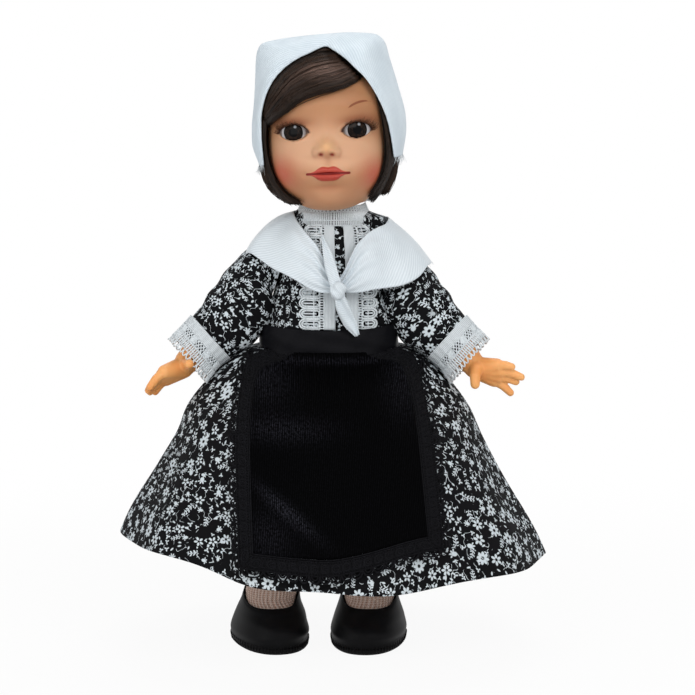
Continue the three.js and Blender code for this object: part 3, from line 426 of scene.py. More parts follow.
def makePrint():
    cloth = Finish("flowerPrint", Specular_IOR_Level=0.06)
    at = cloth.vector("SCALE", cloth.uv(), scale=1.36)  # millimetres on the flat cloth

    def cells(spacing, randomness):
        spot = cloth.vector("SCALE", at, scale=1 / spacing)
        settings = {"voronoi_dimensions": "2D", "feature": "F1"}
        inputs = {"Vector": spot, "Scale": 1, "Randomness": randomness}
        cell = cloth.node("ShaderNodeTexVoronoi", settings, inputs)
        gap = cloth.vector("SCALE", cloth.vector("SUBTRACT", spot, cell.out("Position")), scale=spacing)
        x, y, _ = cloth.split(gap)
        chance = cloth.node("ShaderNodeSeparateColor", None, {0: cell.out("Color")})
        turn = cloth.maths("ARCTAN2", y, x) + chance * (2 * math.pi)
        reach = cloth.maths("SQRT", x * x + y * y)
        return turn, reach, chance.out("Green"), chance.out("Blue")

    def petals(turn, reach, number, middle, long, wide):
        wedge = (cloth.maths("FRACT", turn * number / (2 * math.pi)) - 0.5) * (2 * math.pi) / number
        along = (reach * wedge.use("COSINE") - middle) / long
        aside = reach * wedge.use("SINE") / wide
        return (along * along + aside * aside).fall(0.72, 1.2)

    # blooms, cup-shaped buds and sprigs
    turn, reach, kind, size = cells(7.2, 0.8)
    near = reach / (0.78 + 0.36 * size)
    number = cloth.maths("FLOOR", 5 + 3.4 * size)
    bloom = petals(turn, near, number, 1.65, 1.05, 0.62) * near.rise(0.5 * size.rise(0.3, 0.5), 0.62)
    x, y = near * turn.use("COSINE"), near * turn.use("SINE")
    side = cloth.maths("ABSOLUTE", y)
    body = ((x + 0.2) * (x + 0.2) / 1.2 + y * y / 0.85).fall(0.8, 1.2)
    tips = petals(turn, near, 8.0, 1.3, 0.8, 0.36) * x.rise(0.25, 0.4)
    stalk = (side - 0.25 * (x + 1).use("SINE")).fall(0.1, 0.24) * x.rise(-2.9, -2.6) * x.fall(-0.8, -0.6)
    cup = cloth.maths("MAXIMUM", cloth.maths("MAXIMUM", body, tips), stalk)
    stem = cloth.maths("ABSOLUTE", y - 0.35 * (x * 1.2).use("SINE"))
    onStem = stem.fall(0.1, 0.24) * cloth.maths("ABSOLUTE", x).fall(2.5, 2.8)
    leafX = (cloth.maths("FRACT", x / 1.5) - 0.5) * 1.5 - 0.6 * (stem - 0.6)
    leafY = (stem - 0.72) / 0.56
    leaf = (leafX * leafX / 0.17 + leafY * leafY).fall(0.7, 1.2) * cloth.maths("ABSOLUTE", x).fall(2.1, 2.3)
    isBloom, isSprig = kind.fall(0.4, 0.41), kind.rise(0.7, 0.71)
    sprig = cloth.maths("MAXIMUM", onStem, leaf) * isSprig
    big = bloom * isBloom + cup * (1 - isBloom) * (1 - isSprig)
    # small leaves and dots in the gaps
    turn2, reach2, kind2, size2 = cells(3.5, 0.9)
    free = reach.rise(2.5, 2.75)
    lobes = petals(turn2, reach2 / (0.8 + 0.35 * size2), 3.0, 0.62, 0.6, 0.34)
    x2, y2 = reach2 * turn2.use("COSINE"), reach2 * turn2.use("SINE")
    bud = (x2 * x2 / 0.8 + y2 * y2 / 0.16).fall(0.7, 1.2)
    isLobe = kind2.rise(0.62, 0.63)
    small = (lobes * isLobe + bud * (1 - isLobe)) * free * kind2.rise(0.26, 0.27)
    # thin stems that wander
    warp = cloth.noise(at, 0.19, 1, 0.4)
    line = cloth.maths("ABSOLUTE", warp - 0.5).fall(0.005, 0.011) * cloth.noise(at, 0.3, 0).rise(0.48, 0.52)
    white = cloth.maths("MAXIMUM", cloth.maths("MAXIMUM", big, sprig), cloth.maths("MAXIMUM", small, line))
    u, v, _ = cloth.split(at)
    weave = (u * 16).use("SINE") * (v * 16).use("SINE")
    ink = 0.93 + 0.07 * cloth.noise(at, 3, 2)
    colour = cloth.mix(white * ink, paint(15, 15, 17), paint(212, 221, 226))
    return cloth.done(Base_Color=colour, Roughness=0.78 + 0.1 * weave, Normal=cloth.bump(weave, 0.04, 0.3))


def makeTwill():
    cloth = Finish("kerchiefTwill", Specular_IOR_Level=0.25, Sheen_Weight=0.1)
    u, v, _ = cloth.split(cloth.uv())
    rib = ((0.45 * u + v) * (2 * math.pi / 1.3)).use("SINE")
    thread = ((u - 0.4 * v) * (2 * math.pi / 0.6)).use("SINE")
    patch = cloth.noise(cloth.uv(), 0.09, 2)
    # painted shade: the grooves between the twill ribs are painted darker; the patches are the cloth's own
    # tone
    depth = rib.rise(-1, 1)
    colour = cloth.mix(depth * 0.55 + 0.45 * patch.rise(0.3, 0.7), paint(206, 219, 228), paint(230, 241, 248))
    height = rib + 0.25 * thread
    return cloth.done(Base_Color=colour, Roughness=0.62 + 0.1 * patch, Normal=cloth.bump(height, 0.09, 0.55))


def makeShawlSatin():
    cloth = Finish("shawlSatin", Specular_IOR_Level=0.5, Sheen_Weight=0.15)
    at = cloth.uv()
    u, v, _ = cloth.split(at)
    rib = ((0.82 * u + 0.57 * v) * (2 * math.pi / 0.85)).use("SINE")
    slub = cloth.noise(at, 0.6, 3)
    cloud = cloth.noise(at, 0.08, 2)
    # painted shade: the grooves between the ribs are painted darker; the cloud is the satin's own tone
    colour = cloth.mix(0.5 * rib.rise(-1, 1) + 0.5 * cloud, paint(196, 206, 213), paint(228, 236, 241))
    rough = 0.34 + 0.18 * slub
    return cloth.done(Base_Color=colour, Roughness=rough, Normal=cloth.bump(rib + 0.6 * slub, 0.07, 0.5))


def makeBlackSatin():
    cloth = Finish("blackSatin", Specular_IOR_Level=0.05)
    at = cloth.place()
    _, _, z = cloth.split(at)
    slub = cloth.noise(at, 900, 3)
    rib = (z * (2 * math.pi / 0.0006)).use("SINE")
    colour = cloth.mix(slub, paint(10, 10, 12), paint(18, 18, 22))
    rough = 0.38 + 0.16 * slub
    return cloth.done(Base_Color=colour, Roughness=rough, Normal=cloth.bump(rib + slub, 0.03, 0.3))


def makeVelvet():
    cloth = Finish("blackVelvet", Specular_IOR_Level=0.006)
    at = cloth.uv()
    u, _, _ = cloth.split(at)
    rib = (u * (2 * math.pi / 0.72)).use("SINE")
    pile = cloth.noise(at, 2.2, 3)
    glint = cloth.noise(at, 1.1, 4, 0.7)
    # painted shade: the grooves between the ribs are a little darker; the pile noise is the cloth's own tone
    colour = cloth.mix(pile * 0.5 + 0.5 * rib.rise(-1, 1), paint(1, 1, 1), paint(6, 6, 7))
    # painted highlight: the ribs are painted pale in patches where light would catch the folds
    paintedRibHighlight = cloth.field("paintedVelvetHighlight") * glint.rise(0.35, 0.7) * rib.rise(-0.9, 1)
    colour = cloth.mix(paintedRibHighlight, colour, paint(62, 62, 71))
    rough = 0.45 - 0.12 * glint.rise(0.55, 0.75)
    return cloth.done(Base_Color=colour, Roughness=rough, Normal=cloth.bump(rib + 0.7 * pile, 0.09, 0.5))


def makeThread(name, pale, dark, roughness=0.85):
    thread = Finish(name, Specular_IOR_Level=0.08)
    at = thread.place()
    twist = thread.noise(at, 2200, 2)
    colour = thread.mix(twist.rise(0.3, 0.7), paint(*dark), paint(*pale))
    return thread.done(Base_Color=colour, Roughness=roughness, Normal=thread.bump(twist, 0.05, 0.5))


def makeTape(name, pale, dark):
    tape = Finish(name, Specular_IOR_Level=0.08)
    u, v, _ = tape.split(tape.uv())
    rows = (v * (2 * math.pi / 0.62)).use("SINE")
    picks = (u * (2 * math.pi / 0.4)).use("SINE")
    fuzz = tape.noise(tape.uv(), 2.5, 3)
    height = rows + 0.5 * picks + fuzz
    shade = (height / 2.5).rise(-0.6, 0.9)
    return tape.done(Base_Color=tape.mix(shade, paint(*dark), paint(*pale)), Roughness=0.8 + 0.1 * fuzz,
                     Normal=tape.bump(height, 0.09, 0.7))


def makeSockKnit():
    knit = Finish("sockKnit", Specular_IOR_Level=0.15, Sheen_Weight=0.1)
    u, v, _ = knit.split(knit.uv())
    rib = (u * (2 * math.pi / 1.5)).use("COSINE")
    loop = ((v + 0.35 * knit.maths("ABSOLUTE", rib)) * (2 * math.pi / 0.8)).use("SINE")
    fuzz = knit.noise(knit.uv(), 1.8, 3)
    height = 0.8 * rib + 0.9 * loop + 0.7 * fuzz
    shade = (height / 2.4).rise(-0.7, 0.9)
    colour = knit.mix(shade, paint(176, 136, 116), paint(230, 211, 200))
    return knit.done(Base_Color=colour, Roughness=0.88 + 0.08 * fuzz, Normal=knit.bump(height, 0.14, 0.7))


def makeShoeLeather():
    hide = Finish("shoeLeather", Specular_IOR_Level=0.07)
    at = hide.place()
    pore = hide.node("ShaderNodeTexVoronoi", {"feature": "F1"}, {"Vector": at, "Scale": 1500})
    cloud = hide.noise(at, 120, 3)
    colour = hide.mix(cloud, paint(11, 11, 12), paint(20, 20, 22))
    rough = 0.4 + 0.16 * cloud
    return hide.done(Base_Color=colour, Roughness=rough, Normal=hide.bump(pore + cloud, 0.05, 0.3))


def makeCotton():
    cloth = Finish("whiteCotton", Specular_IOR_Level=0.2, Sheen_Weight=0.1)
    u, v, _ = cloth.split(cloth.uv())
    weave = (u * 11).use("SINE") * (v * 11).use("SINE")
    cloud = cloth.noise(cloth.uv(), 0.2, 2)
    colour = cloth.mix(cloud, paint(214, 216, 218), paint(236, 237, 238))
    return cloth.done(Base_Color=colour, Roughness=0.82 + 0.1 * weave, Normal=cloth.bump(weave, 0.05, 0.4))


def makeSteel():
    steel = Finish("snapSteel", Metallic=1.0)
    brush = steel.noise(steel.place(), 1800, 2)
    return steel.done(Base_Color=steel.mix(brush, paint(170, 172, 176), paint(205, 206, 208)),
                      Roughness=0.24 + 0.18 * brush)


whiteThread = makeThread("laceThreadWhite", (232, 238, 241), (206, 213, 217))
blackThread = makeThread("laceThreadBlack", (20, 20, 24), (8, 8, 10), 0.7)
whiteTape = makeTape("laceTapeWhite", (234, 240, 243), (188, 196, 201))
# greyer than the other white tape: the black dress shows through its holes, and painted shade under the chin
collarTape = makeTape("collarTape", (206, 210, 213), (66, 66, 69))
blackTape = makeTape("laceTapeBlack", (20, 20, 23), (7, 7, 8))
finishes = {
    "face": makeFaceVinyl(),
    "torso": makeVinyl("vinylTorso", (214, 160, 124), (205, 149, 112)),
    "limb": makeVinyl("vinylLimb", (245, 177, 110), (237, 159, 90), 0.4),
    "eye": makeEye(),
    "hair": makeHairFinish("hairStrands", (9, 6, 4), (58, 41, 30), 0.3),
    "lash": makeHairFinish("lashHair", (50, 28, 18), (104, 66, 46), 0.5),
    "print": makePrint(),
    "twill": makeTwill(),
    "shawl": makeShawlSatin(),
    "satin": makeBlackSatin(),
    "velvet": makeVelvet(),
    "sock": makeSockKnit(),
    "shoe": makeShoeLeather(),
    "sole": makeThread("shoeSole", (17, 17, 18), (9, 9, 10), 0.6),
    "cotton": makeCotton(),
    "steel": makeSteel(),
}
print("finishes ready:", len(bpy.data.materials))


# The body that the clothes follow, as the frame has it

bodySizes = {
    "hipZ": 98, "waistZ": 127, "shoulderZ": 156.5, "armOut": 27.5,
    "torso": [[-12, 7, 8], [-9, 12.5, 13], [-3, 19, 17], [5, 22.5, 18.5], [15, 23.2, 19.2], [29, 22, 18],
              [42, 20.3, 16.5], [54, 19.3, 15.2], [64, 18, 14], [71, 15, 12.4], [76, 10, 9.8]],
    "square": 2.4,
    "armAim": unit([math.tan(math.radians(37)), -math.tan(math.radians(12)), -1]),
    "leg": [[0, 10.4, 23.5, 11.5], [3, 11, 25, 12.5], [7, 10.7, 23.5, 12.6], [11, 10, 18, 11.8],
            [15, 9.5, 12.4, 10.6], [20, 9.3, 9.9, 9.9], [31, 9.6, 9.8, 10], [43, 10.2, 10.3, 10.6],
            [54, 9.9, 10.2, 10.2], [70, 9.8, 10.6, 10.6], [82, 8.5, 10.4, 10.4], [95, 8.5, 8, 8]],
    "legBottom": 3.6, "ankleOut": 19.5, "hipOut": 17, "toeIn": {"left": -7, "right": 15},
}


def torsoPoint(angle, rise, extra):
    half = smoothRead(bodySizes["torso"], rise)
    wide, deep = half[..., 0] + extra, half[..., 1] + extra
    x, y = ringXY(angle, wide, deep, deep, bodySizes["square"])
    return np.stack([x, y, bodySizes["hipZ"] + rise + 0 * x], -1)


def yokeWide(rise):
    return np.interp(rise, [62, 68, 71, 74, 77, 80], [1, 1.04, 1.13, 1.3, 1.38, 1.2])


def bodicePoint(across, rise, extra, way=1):
    half = smoothRead(bodySizes["torso"], rise)
    square = bodySizes["square"]
    share = np.minimum(np.abs(across) / ((half[..., 0] + extra) * yokeWide(rise)), 0.999)
    deep = (half[..., 1] + extra) * (1 - share ** square) ** (1 / square)
    return np.stack([across + 0 * deep, -way * deep, bodySizes["hipZ"] + rise + 0 * deep], -1)


def alongArm(side, reach):
    shoulder = np.array([side * bodySizes["armOut"], 0, bodySizes["shoulderZ"]])
    return shoulder + np.asarray(reach, float)[..., None] * bodySizes["armAim"] * [side, 1, 1]


def turned(count):
    return -np.pi + 2 * np.pi * np.arange(count) / count  # starts at the back, so a seam lies there


def coat(name, finish):
    # a solid of the frame that stays in view
    nodes[name].data.materials.clear()
    nodes[name].data.materials.append(finish)


coat("torso", finishes["torso"])
for number in (1, 2, 3):
    coat(f"back_snap_{number}", finishes["steel"])


# Head

headSizes = {
    "z": 179.5, "low": -1.4, "high": 62.3, "centre": 32,
    "sections": [[0, 11, 19.5, 11.5], [2, 14.4, 23.5, 14], [5.5, 17.8, 26.2, 17.5], [10.5, 20.8, 28, 21],
                 [16.5, 23, 29.3, 23], [24.5, 24.6, 29.5, 26.5], [32, 25, 29, 28.5], [40, 24.6, 29, 28.8],
                 [47, 22.6, 26.6, 26.8], [53, 18.8, 22, 22.6], [57.5, 13.6, 16, 16.6], [60.5, 7.4, 8.6, 9]],
    "segments": 320, "rings": 236, "frontPack": 0.42,
    "recess": 181.4, "recessReach": (17.5, 16.3),  # height under the jaw, and where it fades out and is full
}
faceSizes = {
    "eyeOut": 12.5, "eyeMid": -1.2, "eyeRise": 30.5, "eyeLean": 0.045, "eyeHalf": (5.5, 3.3, 3.2),
    "eyeBall": (7.2, 3.3, 6.0), "eyeDeep": 0.95, "paintedCatchlight": (0.7, 2.3), "lashes": 300,
    "mouthRise": 14.8, "mouthHalf": 8.0, "upperLip": 2.65, "lowerLip": 3.05,
    "upperLine": [[0, 0.86], [2.1, 1], [3.6, 0.78], [5, 0.42], [6.5, 0.24], [7.7, 0.2], [8.2, 0.02]],
    "lipGap": [[0, 0.6], [2.2, 0.5], [4, 0.34], [6, 0.38], [7.8, 0.46], [9, 0.3]], "mouthLean": 0.042,
    "lowerLine": [[0, 1], [2.4, 0.95], [3.9, 0.74], [5, 0.42], [6.2, 0.22], [7.7, 0.16], [8.2, 0.02]],
    "noseRise": 24.2, "browFrom": 8.6, "browTo": 18.0, "browRise": 39.5,
}


def polarTable():
    low, high = headSizes["low"], headSizes["high"]
    rows = [[math.acos(1 - 2 * (row[0] - low) / (high - low)), *row[1:]] for row in headSizes["sections"]]
    return [[0, 0, 0, 0], *rows, [math.pi, 0, 0, 0]]


headTable = polarTable()


def headPoint(around, rise):
    low, high = headSizes["low"], headSizes["high"]
    polar = np.arccos(np.clip(1 - 2 * (np.asarray(rise, float) - low) / (high - low), -1, 1))
    half = smoothRead(headTable, polar)
    x, y = ringXY(around, half[..., 0], half[..., 1], half[..., 2])
    return np.stack([x, y, headSizes["z"] + rise + 0 * x], -1)


def frontPoint(x, z, scale=1.0):
    # a point on the front of the head, or of a larger copy of it, from its place across and its height
    rise = headSizes["centre"] + (z - headSizes["z"] - headSizes["centre"]) / scale
    low, high = headSizes["low"], headSizes["high"]
    polar = np.arccos(np.clip(1 - 2 * (rise - low) / (high - low), -0.999, 0.999))
    half = smoothRead(headTable, polar)
    around = np.arcsin(np.clip(x / np.maximum(half[..., 0] * scale, 1), -0.995, 0.995))
    return np.stack([x, -half[..., 1] * scale * np.cos(around), z + 0 * x], -1)


def sculptFace(points):
    size = faceSizes
    x, rise = points[:, 0], points[:, 2] - headSizes["z"]
    front = ease(4, -6, points[:, 1])
    out = unit(points * [1 / 25 ** 2, 1 / 29 ** 2, 0] + np.stack([0 * x, 0 * x, (rise - 30) / 34 ** 2], -1))
    ahead = np.zeros_like(x)  # moved straight forwards
    swell = np.zeros_like(x)  # moved outwards
    wide, apart = np.abs(x), np.abs(x - size["eyeMid"])
    # cheeks, chin and brow
    swell += 1.5 * hill(wide - 13, rise - 15.5, 6.5, 6) + 1.3 * hill(x, rise - 4.2, 6, 3.4)
    swell += 0.5 * hill(wide - 11, rise - 41, 8, 4) - 0.9 * hill(wide - 12.6, rise - 31, 7, 5.5)
    # nose
    aside = x + 0.6
    wing = np.abs(aside)
    ahead += 0.5 * hill(aside, rise - 30, 4.5, 4) + 1.1 * hill(aside, rise - 24.4, 5, 3.4)
    tallNose = np.where(rise > size["noseRise"], 3.6, 2.7)
    ahead += 3.6 * np.exp(-(((aside / 3.3) ** 2 + ((rise - size["noseRise"]) / tallNose) ** 2) ** 1.45))
    wingRing = ((wing - 3.7) / 1.6) ** 2 + ((rise - 22.7) / 1.7) ** 2
    ahead += 1.55 * np.exp(-(wingRing ** 1.3))
    pit = hill(wing - 2.1, rise - 21.8, 0.62, 0.42)
    ahead -= 1.5 * pit
    # mouth
    up = rise - size["mouthRise"] - size["mouthLean"] * x
    top = size["upperLip"] * smoothRead(size["upperLine"], wide)[:, 0]
    bottom = -size["lowerLip"] * smoothRead(size["lowerLine"], wide)[:, 0]
    lipUp = np.where(wide < size["mouthHalf"], np.minimum(up, top - up), -1)
    lipLow = np.where(wide < size["mouthHalf"], np.minimum(-up, up - bottom), -1)
    thick = smoothRead(size["lipGap"], wide)[:, 0]
    lipLine = np.abs(up) / thick + np.maximum(0, wide - size["mouthHalf"]) * 4
    ahead += 1.0 * ease(-0.5, 1.1, lipUp) + 1.25 * ease(-0.5, 1.3, lipLow)
    ahead -= 0.7 * np.exp(-((up / 0.32) ** 2)) * ease(8.6, 7, wide)
    ahead -= 0.4 * hill(wide - 8.6, up, 0.9, 0.8)
    swell += 0.9 * hill(x, up, 7.5, 4.5)
    ahead -= 0.9 * hill(x, up + 5.2, 4.5, 1.2) + 0.35 * hill(x, up - 4.6, 0.9, 1.5)
    # eye openings with lids
    dx, dz = apart - size["eyeOut"], rise - size["eyeRise"] - size["eyeLean"] * x
    tall = np.where(dz > 0, size["eyeHalf"][1], size["eyeHalf"][2])
    ring = (np.abs(dx / size["eyeHalf"][0]) ** 1.4 + np.abs(dz / tall) ** 1.9) ** (1 / 1.65)
    ahead -= 3.2 * ease(1.03, 0.94, ring)
    swell += np.exp(-(((ring - 1.13) / 0.11) ** 2)) * np.where(dz > 0, 0.55, 0.3)
    moved = points + out * (swell * front)[:, None]
    moved[:, 1] -= ahead * front
    # fields that the paint reads
    browStart = size["browFrom"] + np.where(x < 0, 3, 0)
    near = ease(browStart - 0.4, browStart + 1.4, apart)
    arch = apart - size["browFrom"]
    browMid = size["browRise"] + 0.76 * arch - 0.053 * arch ** 2
    browWide = 0.46 * near * ease(size["browTo"] + 0.6, size["browTo"] - 5, apart) + 0.02
    outside = np.maximum(0, browStart - apart) + np.maximum(0, apart - size["browTo"])
    # painted highlight: paler skin on the cheeks below the eyes, down the nose, above the upper lip and on the
    # chin, where light falls
    glow = hill(wide - 11.5, rise - 23.6, 7.5, 5) + 0.7 * hill(aside, rise - 25, 4.5, 6.5)
    glow = glow + 0.4 * hill(x - 2, rise - 18.6, 6, 2.4) + 0.25 * hill(x, rise - 5, 8, 5)
    upperLid = 1.2 * np.exp(-(((ring - 1.04) / 0.11) ** 2))
    lowerLid = 0.55 * np.exp(-(((ring - 1) / 0.06) ** 2))
    wingFold = np.exp(-(((wingRing ** 0.5 - 1.15) / 0.3) ** 2)) * ease(3.8, 5.2, wing)
    shade = 0.95 * hill(dx - 0.8, dz - 4.1, 5.2, 1.35) + 0.5 * hill(x, up + 5.3, 4, 1.1) + 0.16 * wingFold
    shade = shade + 0.35 * hill(aside, rise - 20.8, 4, 0.6) + 0.3 * hill(x, up - 4.4, 1.0, 1.4)
    fields = {
        "lipUp": lipUp, "lipLow": lipLow, "lipLine": lipLine + (1 - front) * 9,
        "blush": np.clip(0.95 * hill(wide - 17.9, rise - 13.7, 4.1, 4.3), 0, 0.85) * front,
        "glow": front * np.clip(glow, 0, 0.85),
        "nostril": np.clip(1.3 * pit, 0, 1) * front,
        # painted highlight on the nose tip
        "paintedNoseHighlight": hill(aside, rise - 24.8, 2.2, 1.8) * front,
        "brow": np.abs(rise - browMid) / browWide + outside * 5 + (1 - front) * 9,
        "lid": np.clip(np.where(dz > -0.4, upperLid, lowerLid), 0, 1) * front,
        "shade": front * np.clip(shade, 0, 0.72),
    }
    return moved, fields


def makeHead():
    head = sphere("headVinyl", headSizes["segments"], headSizes["rings"])
    co = readPoints(head)
    around = np.arctan2(co[:, 0], -co[:, 1])
    around = around - headSizes["frontPack"] * np.sin(around)
    rise = headSizes["low"] + (headSizes["high"] - headSizes["low"]) * (1 + np.clip(co[:, 2], -1, 1)) / 2
    points, fields = sculptFace(headPoint(around, rise))
    # room under the jaw for the collar at every turn of the head
    reach = np.hypot(points[:, 0], points[:, 1])
    points[:, 2] += ease(*headSizes["recessReach"], reach) * np.maximum(0, headSizes["recess"] - points[:, 2])
    setPoints(head, points)
    for name, values in fields.items():
        setField(head, name, values)
    bpy.ops.object.shade_smooth()
    head.data.update()
    return fit(head, finishes["face"], "head", "vinyl_skin", "head")


def makeEyes():
    for name, side in sides.items():
        eye = sphere(f"eyeBall.{name}", 128, 90, rotation=(math.pi / 2, 0, 0))
        bpy.ops.object.transform_apply(rotation=True)
        bpy.ops.object.mode_set(mode="EDIT")
        bpy.ops.mesh.select_all(action="SELECT")
        bpy.ops.transform.resize(value=[half * mm for half in faceSizes["eyeBall"]])
        bpy.ops.object.mode_set(mode="OBJECT")
        x = side * faceSizes["eyeOut"] + faceSizes["eyeMid"]
        z = headSizes["z"] + faceSizes["eyeRise"] + faceSizes["eyeLean"] * x
        before, y, after = frontPoint(x + np.array([-0.5, 0, 0.5]), np.full(3, z))[:, 1]
        turn = math.atan(after - before)
        eye.rotation_euler = (0, 0, turn)
        bpy.ops.object.transform_apply(rotation=True)
        y = y + (faceSizes["eyeBall"][1] + faceSizes["eyeDeep"]) / math.cos(turn)
        eye.location = (x * mm, y * mm, z * mm)
        bpy.ops.object.transform_apply(location=True)
        bpy.ops.object.shade_smooth()
        place = readPoints(eye) / mm
        out = np.hypot(place[:, 0] - x, place[:, 2] - z - 0.1)
        setField(eye, "iris", np.where(place[:, 1] < y, out, 6))
        # where the painted catchlight sits on each eye
        catchlightX, catchlightZ = faceSizes["paintedCatchlight"]
        setField(eye, "paintedCatchlight", np.hypot(place[:, 0] - x - catchlightX, place[:, 2] - z - catchlightZ))
        fit(eye, finishes["eye"], "head", "eye", f"eye_{name}")


def makeLashes():
    for name, side in sides.items():
        count = faceSizes["lashes"]
        at = np.radians(150 - 158 * dice.random(count) ** 0.8)
        size = faceSizes["eyeHalf"]
        edge = 1.04 * (np.abs(np.cos(at)) ** 1.4 + np.abs(np.sin(at)) ** 1.9) ** (-1 / 1.65)
        x = side * (faceSizes["eyeOut"] + size[0] * edge * np.cos(at)) + faceSizes["eyeMid"]
        z = headSizes["z"] + faceSizes["eyeRise"] + faceSizes["eyeLean"] * x + size[1] * edge * np.sin(at)
        root = frontPoint(x, z) - [0, 0.15, 0]
        long = (1.4 + 2.6 * ease(1.6, 0.1, at)) * (0.5 + 0.55 * dice.random(count))
        aim = unit(np.stack([side * (0.75 * np.cos(at) + 0.3), -0.75 + 0 * at, 0.5 * np.sin(at) + 0.12], -1))
        aim = aim + 0.14 * dice.normal(size=(count, 3))
        t = np.linspace(0, 1, 6)[None, :, None]
        paths = root[:, None] + long[:, None, None] * (aim[:, None] * t + np.array([0, 0.25, 0.42]) * t * t)
        lash = tubePiece(f"eyelash.{name}", [(paths, [0.3, 0, 1], np.linspace(0.05, 0.012, 6)[None])], 3)
        setField(lash, "tone", np.repeat(dice.random(count), 18))
        fit(lash, finishes["lash"], "head", "lash", f"eyelash_{name}")


makeHead()
makeEyes()
makeLashes()
print("head, eyes and lashes done")


# Hair: strands laid between two guide lines on the head

hairSizes = {
    "strand": 0.14, "points": 10, "clumps": 110, "backClumps": 97,
    "fringeCount": 3500, "lockCount": 2750, "backCount": 2500,
    "fringeLow": [(14.5, 232.5), (6.9, 227.2), (-4, 224.6), (-11.5, 221.6), (-15.6, 218.3), (-20.8, 215),
                  (-26, 211)],
    "fringeHigh": [(6, 242), (-2, 242.5), (-10, 241), (-17, 236.5), (-22.5, 229.5), (-26, 221), (-27.6, 213)],
    "right": ([(-22.6, 226), (-24.8, 213), (-25.3, 204.5), (-24, 197), (-20.4, 188.4), (-15, 183.6),
               (-12.1, 182.1)],
              [(-26.4, 225), (-27.6, 213), (-27.8, 203), (-27, 194), (-24, 187.2), (-19.6, 183.2),
               (-17, 182)]),
    "left": ([(18.8, 227), (20.8, 218), (22.2, 209), (22.8, 202), (22, 195.6), (19.8, 189.6), (17, 185.8)],
             [(24, 226), (25.6, 218), (26.8, 209), (27.4, 201), (27.2, 195), (26, 190), (24.4, 186.4)]),
}


kerchiefSizes = {
    "thick": 0.5, "lines": 150, "frontSteps": 12, "backSteps": 34,
    # front edge and outline, (across, height), from the doll's right ear over the top to its left ear
    "edge": [(-26, 196.1), (-26.8, 206.8), (-26.9, 213.8), (-25.6, 221.7), (-22.2, 229.2), (-16.7, 235.2),
             (-11.2, 238.8), (-8.4, 240.1), (-1.3, 243.1), (1.4, 242), (6.9, 238.2), (10.4, 234.9),
             (14.2, 231.4), (19.7, 223.2), (23.6, 213.8), (25.3, 205.6), (26.2, 199.4)],
    "outline": [(-28, 195.6), (-30.8, 204.7), (-30.9, 211.5), (-30.3, 220.3), (-29.6, 230.6), (-28.9, 239.2),
                (-27, 243.9), (-19.5, 246.3), (-1.5, 248.4), (6.9, 248.7), (17.6, 247.9), (22.4, 244.2),
                (24.5, 237.8), (27.2, 228.3), (30.3, 215.9), (30.8, 209.1), (29.9, 200.1)],
    "knot": (0, 37.5, 197), "knotHalf": (5.2, 4, 4), "tail": 15, "middle": (0, 4, 212), "fray": 60,
}


def tuckUnder(flat, scale):
    # hair outside the kerchief's front edge lies closer to the head
    edge = np.array(kerchiefSizes["edge"], float) - [0, 205]
    turn = np.arctan2(edge[:, 0], edge[:, 1])
    reach = np.interp(np.arctan2(flat[..., 0], flat[..., 1] - 205), turn, np.hypot(*edge.T))
    past = np.hypot(flat[..., 0], flat[..., 1] - 205) - reach
    return scale - 0.09 * ease(-0.5, 2.5, past) * ease(196, 204, flat[..., 1])


def strandPiece(name, paths, normals, tones, node):
    radii = hairSizes["strand"] * (0.8 + 0.4 * dice.random(len(paths)))[:, None]
    radii = radii * np.r_[np.ones(paths.shape[1] - 2), 0.75, 0.3][None]
    piece = tubePiece(name, [(paths, normals, radii)], 3)
    setField(piece, "tone", np.repeat(tones, paths.shape[1] * 3))
    # painted highlight: a streaky band of paler colour across the fringe, where light falls
    x, z = paths[..., 0], paths[..., 2]
    lit = hill(x + 1.5, z - 234, 7, 2.4) + 0.35 * hill(x + 19, z - 229, 4, 3)
    paintedSheen = lit * ease(-20, -24, paths[..., 1]) * (dice.random(len(paths)) ** 1.2)[:, None]
    setField(piece, "paintedSheen", np.repeat(np.clip(paintedSheen, 0, 0.85).ravel(), 3))
    return fit(piece, finishes["hair"], "head", "hair", node)


def laidStrands(low, high, count, scales, fray, wander, under, wild):
    # each strand keeps its share of the way between the two guides
    clump = dice.integers(0, hairSizes["clumps"], count)
    loose = dice.random(count) < 0.4

    def drawn(free, spread):
        # a loose strand by itself, the others with their clump
        alone = free * dice.random(count)
        together = dice.random(hairSizes["clumps"])[clump]
        if spread:
            together = together + spread * dice.normal(size=count)
        return np.where(loose, alone, together).clip(0, 1)

    def along(guide):
        # a guide line, carried on past its end for the longer strands
        past = (at - 1).clip(0)[..., None] * (np.array(guide[-1]) - guide[-2]) * 4
        return alongLine(guide, at.clip(0, 1)) + past

    share = drawn(1, 0.014)
    reach = 1 + fray * (dice.random(count) - 0.6)
    t = np.linspace(0, 1, hairSizes["points"])
    at = t[None] * reach[:, None]
    a, b = along(low), along(high)
    flat = a + (b - a) * share[:, None, None]
    sway = (dice.normal(size=(hairSizes["clumps"], 2))[clump] + 0.35 * dice.normal(size=(count, 2))) * wander
    stray = np.where(dice.random(count) < 0.05, wild * dice.normal(size=count), 0)
    flat = flat + (stray[:, None] * t[None] ** 3)[..., None] * [1, 0.3]
    flat = flat + sway[:, None] * np.sin(math.pi * (t[None] * 1.4 + dice.random(count)[:, None]))[..., None]
    depth = drawn(0.7, 0.12)
    scale = scales[0] + (scales[1] - scales[0]) * depth[:, None] * ease(0, under, t)[None]
    scale = tuckUnder(flat, scale - 0.02 * t[None])
    return frontPoint(flat[..., 0], flat[..., 1], scale), drawn(0.3, 0)


